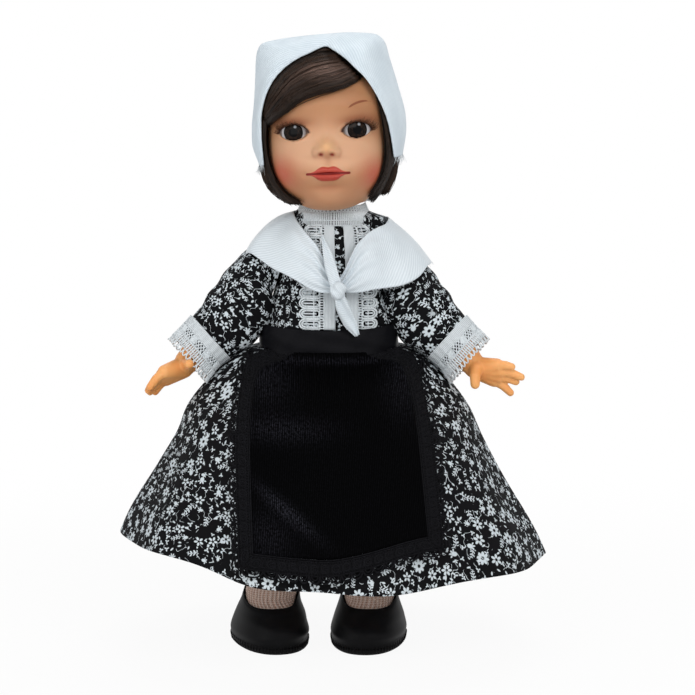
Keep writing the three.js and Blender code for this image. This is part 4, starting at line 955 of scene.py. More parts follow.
def makeHair():
    centre = np.array([0, 0, headSizes["z"] + headSizes["centre"]])
    paths, tone = laidStrands(hairSizes["fringeLow"], hairSizes["fringeHigh"], hairSizes["fringeCount"],
                              (1.045, 1.125), 0.12, 0.5, 0.02, 0.3)
    strandPiece("hairFringe", paths, unit(paths - centre), tone, "hair_fringe")
    for name in sides:
        low, high = hairSizes[name]
        paths, tone = laidStrands(low, high, hairSizes["lockCount"], (1.03, 1.12), 0.4, 0.4, 0.4, 0.9)
        strandPiece(f"hairLock.{name}", paths, unit(paths - centre), tone, f"hair_lock_{name}")
    # the bob at the back hangs from under the kerchief
    count, clumps = hairSizes["backCount"], hairSizes["backClumps"]
    around = np.radians(88 + 184 * dice.random(count))
    t = np.linspace(0, 1, hairSizes["points"])[None]
    top = 58 - 4 * dice.random(count)
    hem = 3.6 + 4 * dice.random(count) ** 2
    rise = top[:, None] + (hem - top)[:, None] * t
    clump = (around * 16).astype(int) % clumps
    puff = np.clip(dice.random(clumps)[clump] + 0.25 * dice.normal(size=count), 0, 1)
    scale = 1.03 + 0.1 * puff[:, None] * ease(0, 0.35, t) - 0.035 * ease(0.75, 1, t)
    sway = around[:, None] + 0.05 * dice.normal(size=count)[:, None] * np.sin(math.pi * t * 1.5)
    paths = headPoint(sway, rise)
    paths = centre + (paths - centre) * scale[..., None]
    strandPiece("hairBobBack", paths, unit(paths - centre), dice.random(clumps)[clump], "hair_bob_back")


makeHair()
print("hair laid")


# Kerchief: lines from the front edge over the crown to the knot at the nape

def bezier(points, t):
    a, b, c, d = [np.asarray(p, float)[:, None] for p in points]
    t = t[None, :, None]
    return a * (1 - t) ** 3 + 3 * b * t * (1 - t) ** 2 + 3 * c * t * t * (1 - t) + d * t ** 3


def kerchiefGrid():
    size = kerchiefSizes
    at = np.linspace(0, 1, size["lines"])
    stops = np.linspace(0, 1, len(size["edge"]))
    edge = smoothRead(np.c_[stops, size["edge"]], at)
    outline = smoothRead(np.c_[stops, size["outline"]], at)
    front = frontPoint(edge[:, 0], edge[:, 1], 1.155)
    front[:, 1] = np.minimum(front[:, 1], -7)
    rim = np.stack([outline[:, 0], 1 - 5 * np.sin(math.pi * at) ** 2, outline[:, 1]], -1)
    # the cloth folds over at its front edge, then leans out to the outline
    bend = (front + rim) / 2
    outward = unit(np.stack([bend[:, 0], 0 * at, bend[:, 2] - 215], -1))
    bend = bend + outward * 1.0 + [0, -3.2, 0]
    t = np.linspace(0, 1, size["frontSteps"])
    first = bezier((front, front + (bend - front) * 0.7, rim + (bend - rim) * 0.7, rim), t)
    knot = np.array(size["knot"], float)
    fan = np.stack([rim[:, 0], 0 * at, rim[:, 2] - knot[2]], -1)
    end = knot + unit(fan) * 2.6
    swell = 1.04 + 0.1 * np.sin(math.pi * at)
    lead = rim + np.stack([0.5 * unit(fan)[:, 0], 0 * at + 24 * swell, 0.5 * unit(fan)[:, 2]], -1)
    trail = end + unit(fan) * (np.linalg.norm(fan, axis=1) * 0.72)[:, None] + [0, 4.5, 0]
    t = np.linspace(0, 1, size["backSteps"])
    second = bezier((rim, lead, trail, end), t)
    # pleats that gather towards the knot
    pleat = np.sin(at * 46 + 1.5 * np.sin(at * 9))[:, None] * ease(0.35, 0.95, t)[None] * 0.8
    second = second + unit(second - size["middle"]) * pleat[..., None]
    grid = np.concatenate([first, second[:, 1:]], axis=1)
    # soft dents, as a stiff cloth shows
    u, v = np.meshgrid(at, np.linspace(0, 1, grid.shape[1]), indexing="ij")
    dent = 0.35 * np.sin(17 * u + 9 * v) * np.sin(11 * v - 6 * u + 1) + 0.3 * np.sin(7 * u - 15 * v)
    dent = dent + 1.3 * hill(u - 0.66, v - 0.12, 0.03, 0.08)
    return grid + unit(grid - size["middle"]) * (dent * ease(0, 0.08, v))[..., None]


def metricUV(grid):
    # lengths on the cloth: along it the mean of its lines, across it each line's own
    along = np.linalg.norm(np.diff(grid, axis=0), axis=-1)
    across = np.linalg.norm(np.diff(grid, axis=1), axis=-1)
    rows, columns = grid.shape[:2]
    u = np.concatenate([np.zeros((1, columns)), np.cumsum(along, 0)])
    v = np.concatenate([np.zeros((rows, 1)), np.cumsum(across, 1)], axis=1)
    u = np.repeat(u.mean(1, keepdims=True), columns, 1)
    return np.stack([u, v], -1)


def knotBall(name, middle, half, twist, grooves=5):
    ball = sphere(name, 72, 48)
    co = readPoints(ball)
    around, up = np.arctan2(co[:, 1], co[:, 0]), co[:, 2]
    wave = 1 + 0.1 * np.sin(grooves * around + twist * up) * (1 - up ** 2) + 0.05 * np.sin(3 * up + around)
    setPoints(ball, co * wave[:, None] * half + middle)
    layer = ball.data.uv_layers[0]
    layer.name = "UVMap"
    for loop in layer.data:
        loop.uv = (loop.uv[0] * 24, loop.uv[1] * 12)
    bpy.ops.object.shade_smooth()
    return ball


def ribbon(name, line, wide, thick, normal, wave, seed):
    # a flat band of cloth along a line, with a soft curl across it
    t = np.linspace(0, 1, 40)
    path = alongLine(line, t)
    along = unit(np.gradient(path, axis=0))
    aside = unit(np.cross(along, np.broadcast_to(normal, along.shape)))
    up = np.cross(aside, along)
    width = smoothRead(np.c_[np.linspace(0, 1, len(wide)), wide], t)[:, 0]
    s = np.linspace(-0.5, 0.5, 13)
    curl = wave * np.cos(s * 2 * math.pi * 1.5 + 4 * t[:, None] + seed)
    flat = s[None] * width[:, None]
    grid = path[:, None] + aside[:, None] * flat[..., None] + up[:, None] * curl[..., None]
    piece = gridPiece(name, grid, uv=flatUV(flat, t[:, None] * 30))
    thicken(piece, thick, 0)
    return piece


def looseThreads(root, aim, long, radii, normal, bend=0.0):
    t = np.linspace(0, 1, len(radii))[None, :, None]
    paths = root[:, None] + unit(aim)[:, None] * t * long[:, None, None] + bend * t * t
    return paths, normal, np.array([radii])


def makeKerchief():
    grid = kerchiefGrid()
    cloth = gridPiece("kerchiefCloth", grid, uv=metricUV(grid))
    thicken(cloth, kerchiefSizes["thick"], -1)
    fit(cloth, finishes["twill"], "head", "kerchief_cloth", "kerchief")
    # loose threads at the two lower ends
    ends = []
    for line, way in ((grid[0], -1), (grid[-1], 1)):
        count = kerchiefSizes["fray"]
        root = line[(dice.random(count) * 22).astype(int)]
        sideways = 0.3 * dice.normal(size=count) + 0.1 * way
        aim = np.stack([sideways, 0.3 * dice.normal(size=count), np.full(count, -1.0)], -1)
        long = 1 + 2.6 * dice.random(count)
        bend = 0.5 * dice.normal(size=(count, 1, 3))
        ends.append(looseThreads(root, aim, long, [0.07, 0.07, 0.06, 0.05, 0.03], [0, 1, 0.2], bend))
    fray = tubePiece("kerchiefFray", ends, 3)
    fit(fray, whiteThread, "head", "kerchief_cloth")
    knot = np.array(kerchiefSizes["knot"], float) + [0, 2.2, 0.5]
    parts = [knotBall("kerchiefKnot", knot, kerchiefSizes["knotHalf"], 3)]
    for side in sides.values():
        line = [knot, knot + [side * 2.5, 2.4, -4], knot + [side * 5, 2.2, -10],
                knot + [side * 6.5, 1, -kerchiefSizes["tail"]]]
        parts.append(ribbon("kerchiefTail", line, [3, 7, 9, 9.5], 0.5, [0, 1, 0], 0.6, side))
    tied = joinAll("kerchiefKnot", parts)
    fit(tied, finishes["twill"], "head", "kerchief_cloth", "kerchief_knot")
    along, across = grid[1:, :-1] - grid[:-1, :-1], grid[:-1, 1:] - grid[:-1, :-1]


makeKerchief()
print("kerchief tied")


# Dress

dressSizes = {
    "thick": 0.45, "bodiceOut": 1.0,
    "skirt": [[-3, 24, 20.05], [0, 24.4, 20.4], [5.5, 24.87, 20.87], [9, 29, 24.5], [14, 38, 32],
              [20, 47.5, 40.5], [31, 58.5, 50.5], [43, 64.5, 56.5], [64, 74, 65.5], [89, 84.5, 76]],
    "folds": 10, "foldDepth": 2.2, "skirtPrint": 0.8, "puff": 6, "hem": 89, "hemHalf": 85,
    "columns": 400, "rows": 84,
    "sleeveLength": 44, "sleeveTurn": 9,
    # along the arm: radius on the outer side, on the inner side, and front to back
    "sleeve": [[-9, 11, 11, 11.2], [-4, 10.4, 12, 11.6], [3, 9.6, 13.4, 11.6], [10, 9.2, 17, 11.4],
               [20, 9, 18.4, 11], [30, 9, 15.8, 10.6], [36.5, 9.3, 12.4, 10.3], [44, 9.6, 10.4, 10],
               [60, 9.6, 9.8, 9.7]],
}
petticoatSizes = {"top": 7, "foot": 76, "thick": 0.4, "less": 3.5}
briefsSizes = {"low": -12, "high": 17, "thick": 0.5, "crotchHalf": 7.2, "legTop": 109}
placketSizes = {"half": 5, "low": 33.3, "high": 58.5, "thick": 0.7, "stand": 3.4, "turnIn": 2.3}


def skirtRow(drop):
    half = smoothRead(dressSizes["skirt"], drop)
    depth = dressSizes["foldDepth"] * ease(9, dressSizes["hem"], drop)
    square = 2.4 - 0.4 * np.clip((np.asarray(drop) - 5.5) / 14.5, 0, 1)
    return half[..., 0], half[..., 1], depth, square


def skirtPuff(aside, drop):
    # gathers that stand up beside the waist
    return dressSizes["puff"] * np.exp(-(((drop - 12) / 6.2) ** 2)) * ease(0.55, 0.9, aside)


def hemRise(across, drop, front=0.0):
    # the hem hangs lower on the doll's left
    tilt = across / dressSizes["hemHalf"]
    return (2.4 * tilt ** 2 - 4.6 * tilt + front) * ease(30, dressSizes["hem"], drop)


def skirtPoint(angle, drop):
    wide, deep, depth, square = skirtRow(drop)
    x, y = ringXY(angle, wide, deep, deep, square)
    aside = np.abs(np.sin(angle))
    phase = dressSizes["folds"] * angle + 0.5 * np.sin(2 * angle + 1) + 0.4 * np.sin(3 * angle)
    wave = -depth * np.cos(phase) * (0.78 + 0.22 * np.sin(3 * angle + 2))
    wave = wave + 0.5 * np.sin(44 * angle + 2 * np.sin(5 * angle)) * ease(5.5, 9, drop) * ease(34, 10, drop)
    wave = wave + 1.2 * hill(angle + 1.5, drop - 27, 0.3, 6)
    wave = wave - 1.6 * ease(0.6, 1, aside) * ease(22, 40, drop) * ease(84, 58, drop)
    wave = wave + 3.4 * ease(0.5, 1, np.sin(angle)) * ease(45, 89, drop)
    wave = wave + 2 * ease(0.6, 1, aside) * np.exp(-(((drop - 19) / 7) ** 2))
    tilt = x / dressSizes["hemHalf"]
    lift = np.where(tilt < 0, 4.8, 3.2) * np.exp(-(((np.abs(tilt) - 0.72) / 0.24) ** 2))
    front = np.where(np.cos(angle) > 0, lift, 0)
    z = bodySizes["waistZ"] - drop + hemRise(x, drop, front) + skirtPuff(aside, drop)
    return np.stack([x + np.sin(angle) * wave, y - np.cos(angle) * wave, z + 0 * x], -1)


def slantUV(angle, drops):
    # the skirt laid flat as a fan
    wide, deep, _, _ = skirtRow(drops)
    half = (wide + deep) / 2
    slant = np.r_[0, np.cumsum(np.hypot(np.diff(half), np.diff(drops)))]
    reach = (100 + slant)[:, None]
    fan = 0.36 * (angle + 0.14 * np.sin(2 * angle))[None]
    return np.stack([reach * np.cos(fan), reach * np.sin(fan)], -1)


def makeSkirt():
    columns, rows = dressSizes["columns"], dressSizes["rows"]
    angle = turned(columns)
    drops = np.r_[np.linspace(-3, 9, 12), np.linspace(9, dressSizes["hem"], rows - 11)[1:]]
    grid = skirtPoint(angle[None], drops[:, None])
    uv = slantUV(np.r_[angle, math.pi], drops) * dressSizes["skirtPrint"]
    skirt = gridPiece("skirtCloth", grid, True, uv)
    thicken(skirt, dressSizes["thick"], -1)
    fit(skirt, finishes["print"], "torso", "flower_print", "skirt")


def makePetticoat():
    size = petticoatSizes
    angle = turned(160)
    drops = np.linspace(size["top"], size["foot"], 40)
    wide, deep, depth, square = skirtRow(drops[:, None])
    less = size["less"] + depth
    x, y = ringXY(angle[None], wide - less, deep - less, deep - less, square)
    top = torsoPoint(angle[None], np.full((1, 1), 22.0), 1.2)
    flare = np.stack([x, y, bodySizes["waistZ"] - drops[:, None] - 2 + 0 * x], -1)
    ripple = 0.6 * np.sin(26 * angle[None]) * ease(10, size["foot"], drops[:, None])
    flare = flare + np.stack([np.sin(angle)[None] * ripple, -np.cos(angle)[None] * ripple, 0 * ripple], -1)
    share = ease(size["top"], 13, drops)[:, None, None]
    flare = np.where(drops[:, None, None] < 12, top * (1 - share) + flare * share, flare)
    flare[..., 2] = bodySizes["waistZ"] - drops[:, None] - 1
    slip = gridPiece("petticoatCloth", flare, True, slantUV(np.r_[angle, math.pi], drops))
    thicken(slip, size["thick"], -1)
    fit(slip, finishes["cotton"], "torso", "white_cotton", "petticoat")


def makeBriefs():
    size = briefsSizes
    angle = turned(160)
    rises = np.r_[size["low"] - 0.6, np.linspace(size["low"], size["high"], 40)][::-1]
    grid = torsoPoint(angle[None], rises[:, None], 1.0)
    grid[-1] = grid[-1] * [0.75, 0.75, 1] - [0, 0, 0.8]
    legHole = (np.abs(grid[..., 0]) > size["crotchHalf"]) & (grid[..., 2] < size["legTop"])
    briefs = gridPiece("briefsCloth", grid, True, wrapUV(angle, rises, 22))
    only(briefs)
    bpy.ops.object.mode_set(mode="EDIT")
    bpy.ops.mesh.select_all(action="DESELECT")
    bpy.ops.object.mode_set(mode="OBJECT")
    briefs.data.vertices.foreach_set("select", legHole.reshape(-1))
    bpy.ops.object.mode_set(mode="EDIT")
    bpy.ops.mesh.delete(type="VERT")
    bpy.ops.object.mode_set(mode="OBJECT")
    thicken(briefs, size["thick"], -1)
    fit(briefs, finishes["cotton"], "torso", "white_cotton", "briefs")


def makeBodice():
    angle = turned(240)
    rises = np.linspace(24, 80, 96)[::-1]
    aside = np.abs(np.sin(angle))[None]
    loose = 2.6 * aside ** 2 * ease(62, 36, rises)[:, None]
    reach = np.where(np.sin(angle) > 0, 1, 0.45)[None]
    yoke = aside ** 7 * reach * ease(58, 71, rises)[:, None]
    half = smoothRead(bodySizes["torso"], np.minimum(rises, 76))[:, :1]
    yokeHalf = np.interp(rises, [58, 71, 74, 77, 80], [18, 21.5, 22, 21, 14])[:, None]
    yoke = yoke * (yokeHalf - half).clip(0)
    grid = torsoPoint(angle[None], rises[:, None], dressSizes["bodiceOut"] + loose + yoke)
    grid[..., 0] *= np.maximum(1, yokeWide(rises)[:, None] * (1 - 0.4 * aside ** 7))
    crease = 0.25 * np.sin(9 * angle[None] + 0.25 * rises[:, None]) * ease(70, 40, rises)[:, None]
    grid = grid + gridNormals(grid, True) * crease[..., None]
    bodice = gridPiece("bodiceCloth", grid, True, wrapUV(angle, rises, 19.5, 37))
    thicken(bodice, dressSizes["thick"], -1)
    fit(bodice, finishes["print"], "torso", "flower_print", "bodice")


def makePlacket():
    # the strip over the snaps at the back, its long edges turned in to the bodice
    size = placketSizes
    across = np.linspace(-size["half"], size["half"], 21)
    rises = np.linspace(size["low"], size["high"], 40)
    share = smoothRead(bodySizes["torso"], rises)[:, 0] / 22
    stand = size["stand"] - size["turnIn"] * ease(2.6, size["half"], np.abs(across))[None]
    grid = bodicePoint(across[None] * share[:, None], np.repeat(rises[:, None], len(across), 1), stand, -1)
    strip = gridPiece("backPlacket", grid, uv=flatUV(across[None] + 80, rises[:, None]))
    thicken(strip, size["thick"], 0)
    fit(strip, finishes["print"], "torso", "flower_print", "back_placket")


def sleeveFrame(side, reach):
    # centre, axis and two cross directions along the sleeve; near the shoulder it turns in to the armhole
    reach = np.asarray(reach, float)
    until = dressSizes["sleeveTurn"]
    aim = bodySizes["armAim"] * [side, 1, 1]
    straight = alongArm(side, reach)
    start = np.array([side * 20.2, 0, bodySizes["shoulderZ"] - 2.6])
    bend = np.array([side * 27.6, -0.4, bodySizes["shoulderZ"] - 0.4])
    finish = alongArm(side, np.array(until))
    t = np.clip((reach + until) / (2 * until), 0, 1)[..., None]
    turn = start * (1 - t) ** 2 + 2 * bend * t * (1 - t) + finish * t * t
    lead = unit(2 * (bend - start) * (1 - t) + 2 * (finish - bend) * t)
    straightAway = reach[..., None] > until
    centre = np.where(straightAway, straight, turn)
    axis = np.where(straightAway, aim, lead)
    ahead = unit(np.array([0, -1, 0]) - axis * (axis @ np.array([0, -1, 0]))[..., None])
    outer = np.cross(ahead, axis) * side
    return centre, axis, ahead, outer


def sleevePoint(side, turn, reach, extra):
    centre, axis, ahead, outer = sleeveFrame(side, reach)
    size = smoothRead(dressSizes["sleeve"], reach)
    half = np.where(np.sin(turn) > 0, size[..., 0], size[..., 1]) + extra
    spoke = ahead * (np.cos(turn) * (size[..., 2] + extra))[..., None]
    spoke = spoke + outer * (np.sin(turn) * half)[..., None]
    tilt = -0.26 * ease(12, 40, reach) * np.sin(turn) * size[..., 0]
    return centre + spoke + axis * tilt[..., None]


def makeSleeves():
    for name, side in sides.items():
        turn = turned(150) + 0.6
        reach = np.linspace(-dressSizes["sleeveTurn"], dressSizes["sleeveLength"], 80)
        turns, reaches = np.meshgrid(turn, reach)
        wrinkle = 0.35 * np.sin(0.55 * reaches + 2 * np.sin(turns + side))
        wrinkle = wrinkle * ease(-6, 8, reaches) * ease(40, 26, reaches)
        soft = 0.45 * np.sin(3 * turns + 0.16 * reaches)
        wrinkle = wrinkle + soft * ease(0, 20, reaches) * ease(44, 30, reaches)
        grid = sleevePoint(side, turns, reaches, wrinkle)
        uv = wrapUV(turn, reach + 300, 10.8, side * 150)
        sleeve = gridPiece(f"sleeveCloth.{name}", grid, True, uv, flip=side < 0)
        thicken(sleeve, dressSizes["thick"], -1)
        fit(sleeve, finishes["print"], None, "flower_print", f"sleeve_{name}")
        finish = np.array([side * 34, -1.5, bodySizes["shoulderZ"] - 6]) * mm
        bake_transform(sleeve)


# Lace: threads that follow a flat drawing, laid on the cloth

def laceBatches(lines, period, repeats, placeOn, radius, shift=0.0):
    batches = []
    for line in lines:
        line, thick = line if isinstance(line, tuple) else (line, 1.0)
        flat = np.asarray(line, float)
        u = flat[None, :, 0] + (np.arange(repeats) * period)[:, None] + shift
        v = np.repeat(flat[None, :, 1], repeats, 0)
        points, normals = placeOn(u, v)
        batches.append((points, normals, radius * thick))
    return batches


def arc(middle, wide, tall, start, stop, steps=9):
    a = np.radians(np.linspace(start, stop, steps))
    return np.stack([middle[0] + wide * np.cos(a), middle[1] + tall * np.sin(a)], -1)


def straight(a, b, steps=4):
    return np.linspace(a, b, steps)


def trim(name, parts, bodyName, nodeName):
    # a woven band and its threads, each with its own finish, as one piece
    for piece, finish in parts:
        piece.data.materials.append(finish)
    joined = joinAll(name, [piece for piece, _ in parts])
    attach(joined, bodyName)
    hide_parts(nodeName)
    return joined


cuffSizes = {"start": 36.3, "wide": 13.8, "tape": 4.2, "row": 7.8, "round": 11.2, "repeats": 9, "thread": 0.22}


def makeCuffs():
    size = cuffSizes
    p = 2 * math.pi * size["round"] / size["repeats"]

    def placer(side):
        def placeOn(u, v):
            reach = size["start"] + v
            turn = u / size["round"]
            rim = (v / size["wide"]) ** 2
            flare = 0.55 + 0.9 * rim + 0.55 * rim * np.sin(9 * turn + side) + 0.12 * np.sin(23 * turn)
            points = sleevePoint(side, turn, reach, flare)
            return points, unit(points - sleeveFrame(side, reach)[0])
        return placeOn

    tape, row, edge = size["tape"], size["row"], size["wide"] - 2.6
    rounds = ((tape, 1.3), (row, 1.3), (row + 1.7, 0.9), (edge, 0.9))
    drawing = [(straight((0, v), (p, v), 12), k) for v, k in rounds]
    # solid block, then crossing threads
    bars = [p * (0.04 + 0.066 * k) for k in range(6)]
    drawing += [(straight((x, tape), (x, row)), 1.3) for x in bars]
    mid = (tape + row) / 2
    for k in range(3):
        a, b = p * (0.43 + 0.19 * k), p * (0.62 + 0.19 * k)
        crossings = (((a, tape), (b, mid)), ((b, tape), (a, mid)),
                     ((a, mid), (b, row)), ((b, mid), (a, row)))
        drawing += [(straight(start, stop, 3), 1.15) for start, stop in crossings]
    # leaning bars in pairs that run into loops
    for k in range(4):
        a, w = p * k / 4, p / 4
        lean = w * 0.3
        drawing += [(straight((a + w * 0.2, row), (a + w * 0.2 + lean, edge)), 1.8),
                    (straight((a + w * 0.7, row), (a + w * 0.7 + lean, edge)), 1.6),
                    (arc((a + w * 0.55, edge), w * 0.46, 2.3, 180, 0, 9), 1.4)]
    for name, side in sides.items():
        placeOn = placer(side)
        batches = laceBatches(drawing, p, size["repeats"], placeOn, size["thread"], 2.1)
        lace = tubePiece(f"cuffThreads.{name}", batches, 5)
        turn = turned(160)
        rows = np.linspace(0, tape + 0.2, 9)
        points, _ = placeOn(*np.meshgrid(turn * size["round"], rows))
        uv = wrapUV(turn, rows, size["round"])
        band = gridPiece(f"cuffTape.{name}", points, True, uv, flip=side < 0)
        thicken(band, 0.5, 0)
        cuff = trim(f"cuffLace.{name}", ((band, whiteTape), (lace, whiteThread)), f"arm_{name}",
                    f"cuff_lace_{name}")


frontSizes = {
    "shift": 4.9, "half": 2.2, "wide": {"left": 12.2, "right": 14.4}, "low": 33.3, "high": 75,
    "tape": 4.6, "bars": 1.6, "period": 4.1, "thread": 0.26,
}


def makeFrontLaces():
    size = frontSizes
    long = size["high"] - size["low"]
    for name, side in sides.items():
        def placeOn(u, v, side=side):
            rise = size["low"] + u
            share = smoothRead(bodySizes["torso"], rise)[..., 0] * yokeWide(rise) / 20
            across = (size["shift"] + side * (size["half"] + v)) * np.clip(share, 0.72, 1)
            lift = dressSizes["bodiceOut"] + 0.75 + 0.25 * (v > 4) * np.sin(1.9 * u)
            lift = lift + 2.2 * ease(10, 22, np.abs(across))
            points = bodicePoint(across, rise, lift)
            slope = bodicePoint(across, rise, lift + 1.2)
            return points, unit(slope - points)
        p, tape, wide = size["period"], size["tape"], size["wide"][name]
        row, edge = tape + size["bars"], wide - 2.6
        repeats = int(long / p)
        drawing = [
            straight((0, tape), (p, tape), 5), straight((0, row), (p, row), 5),
            *[straight((x, tape), (x, row), 3) for x in (0.3, 1.3, 2.4, 3.4)],
            # a winding cord in three rounds
            (arc((p * 0.5, edge), p * 0.48, 2.5, 180, 0, 11), 1.5),
            (arc((p * 0.5, edge), p * 0.3, 1.6, 180, 0, 9), 1.4),
            *[(straight((p * x, row), (p * x, edge), 5), 1.5) for x in (0.02, 0.98)],
            *[(straight((p * x, tape + 2.4), (p * x, edge), 5), 1.4) for x in (0.2, 0.8)],
            (arc((p * 0.5, tape + 2.6), p * 0.3, 0.8, 180, 360, 7), 1.3),
            (straight((p * 0.5, tape + 3), (p * 0.5, wide - 1.6), 5), 1.2),
            straight((0, tape + 4), (p, tape + 4), 5),
        ]
        batches = laceBatches(drawing, p, repeats, placeOn, size["thread"], 0.2)
        lace = tubePiece(f"frontThreads.{name}", batches, 5)
        u, v = np.meshgrid(np.linspace(0, long, 60), np.linspace(0, tape, 9), indexing="ij")
        points, _ = placeOn(u, v)
        band = gridPiece(f"frontTape.{name}", points, uv=np.stack([u, v * 1.1], -1), flip=side > 0)
        thicken(band, 0.45, 0)
        trim(f"frontLace.{name}", ((band, whiteTape), (lace, whiteThread)), "torso",
             f"front_lace_{name}")


collarSizes = {
    "low": 172.2, "high": 180, "wide": 15.4, "deep": 13.1, "round": 14.2, "lean": 2.2, "shift": 1.6,
    "repeats": 62, "thread": 0.25,
}


def makeCollar():
    size = collarSizes
    tall = size["high"] - size["low"]

    def placeOn(u, v):
        angle = u / size["round"]
        lean = size["lean"] * (v / tall) ** 0.8 - 0.5 * np.sin(math.pi * v / tall)
        x, y = ringXY(angle, size["wide"] - lean, size["deep"] - lean * 0.75, size["deep"] - lean, 2.3)
        # the back is lower and in the middle, clear of the hair when the head turns
        z = size["low"] + v * (1 - 0.14 * ease(0, 9, y)) + 0.25 * np.sin(5 * angle) * (v / tall)
        return np.stack([x + size["shift"] * ease(10, 2, y), y, z], -1), unit(np.stack([x, y, 0 * x], -1))

    around = 2 * math.pi * size["round"]
    p = around / size["repeats"]
    drawing = [(straight((0, v), (p, v), 3), 1.0) for v in (0.2, 2.2, 5.6, 7.8)]
    drawing += [(straight((p * x, 0.2), (p * x, 2.2), 3), 1.0) for x in (0.2, 0.7)]
    drawing += [(straight((p * x, 2.2), (p * x, 5.6), 4), 1.35) for x in (0.25, 0.75)]
    loops = ((5.6, 1.0), (6.7, 0.9), (7.6, 0.6))
    drawing += [(arc((p * 0.5, v), p * 0.45, half, 180, 0, 6), 1.1) for v, half in loops]
    batches = laceBatches(drawing, p, size["repeats"], placeOn, size["thread"], -around / 2)
    lace = tubePiece("collarThreads", batches, 5)
    angle = turned(140)
    rows = np.linspace(tall, 0, 14)
    points, _ = placeOn(*np.meshgrid(angle * size["round"], rows))
    band = gridPiece("collarBand", points * [0.985, 0.985, 1], True, wrapUV(angle, rows, size["round"]))
    thicken(band, 0.35, -1)
    collar = trim("collarLace", ((band, collarTape), (lace, whiteThread)), "torso",
                  "collar_lace")


makeSkirt()
makePetticoat()
makeBriefs()
makeBodice()
makePlacket()
makeSleeves()
makeCuffs()
makeFrontLaces()
makeCollar()
print("dress and white lace done")


# Apron

apronSizes = {
    "bandLow": 121.2, "bandHigh": 131.2, "bandOut": 3.2, "top": 4.6, "drop": 85, "lace": 8.6, "ease": 0.9,
    "widths": [[4.6, 22.5], [6.1, 24.2], [8, 27], [11, 32.4], [14, 36.6], [20, 38.8], [40, 41], [82, 41.6]],
    "slip": 5.4, "rise": 9, "thick": 0.6, "repeats": 52, "thread": 0.22,
}


def apronMid(drop):
    return apronSizes["slip"] * drop / apronSizes["drop"]


def apronHalf(drop):
    return smoothRead(apronSizes["widths"], drop)[..., 0]


def skirtFront(across, drop, extra):
    # the foot rises towards the doll's left
    low = np.clip(drop / apronSizes["drop"], 0, 1.1) ** 1.6
    drop = drop - apronSizes["rise"] * ease(-5, 42, across) * low
    wide, deep, depth, square = skirtRow(drop)
    out = extra + depth + apronSizes["ease"]
    share = np.minimum(np.abs(across) / (wide + out), 0.999)
    ahead = (deep + out) * (1 - share ** square) ** (1 / square)
    z = bodySizes["waistZ"] - drop + hemRise(across, drop)
    return np.stack([across + 0 * ahead, -ahead, z + skirtPuff(share ** (square / 2), drop)], -1)


def apronWave(across, drop):
    # gathers under the band, one slanting fold low on the right side, and a soft roll
    wave = 0.35 * np.sin(across * 1.9 + np.sin(across)) * ease(22, 7, drop)
    line = (across + 21) * 0.72 + (drop - 60) * -0.69
    wave = wave + 1.1 * np.exp(-((line / 3.2) ** 2)) * hill(across + 17, drop - 64, 9, 9)
    wave = wave + 0.8 * hill(across + 25, drop - 62, 5, 7)
    wave = wave + 0.5 * np.sin(across / 9 + drop / 23) * ease(20, 45, drop)
    return wave + 0.9 * hill(across - 30, drop - 20, 6, 10) + 0.9 * hill(across + 29, drop - 20, 6, 10)


def makePanel():
    size = apronSizes
    drops = np.r_[np.linspace(size["top"], 14, 20), np.linspace(14, size["drop"] - size["lace"], 70)[1:]]
    s = np.linspace(-1, 1, 110)
    half = apronHalf(drops) - size["lace"]
    across = s[None] * half[:, None]
    deep = np.repeat(drops[:, None], len(s), 1)
    grid = skirtFront(across + apronMid(deep), deep, 0.3)
    grid = grid + gridNormals(grid) * apronWave(across, deep)[..., None].clip(-0.2)
    panel = gridPiece("apronVelvet", grid, uv=np.stack([across * 1.05, deep], -1))
    # painted highlight: paler pile along the slanting fold, at the sides and just under the band, where light
    # catches
    slant = (across + 21) * 0.62 - (deep - 59) * 0.78
    paintedVelvetHighlight = 0.9 * np.exp(-((slant / 2.6) ** 2)) * hill(across + 19, deep - 60, 9, 9)
    paintedVelvetHighlight = paintedVelvetHighlight + 0.55 * hill(across + 26, deep - 14, 7, 6)
    paintedVelvetHighlight = paintedVelvetHighlight + 0.5 * hill(across + 20, deep - 31, 12, 3) + 0.4 * hill(across + 27, deep - 70, 6, 6)
    paintedVelvetHighlight = paintedVelvetHighlight + 0.4 * hill(across - 28, deep - 16, 5, 9) + 0.5 * np.exp(-(((deep - 8) / 1.2) ** 2)) + 0.04
    setField(panel, "paintedVelvetHighlight", paintedVelvetHighlight.ravel())
    thicken(panel, size["thick"], 1)
    return fit(panel, finishes["velvet"], "torso", "black_velvet", "apron_panel")


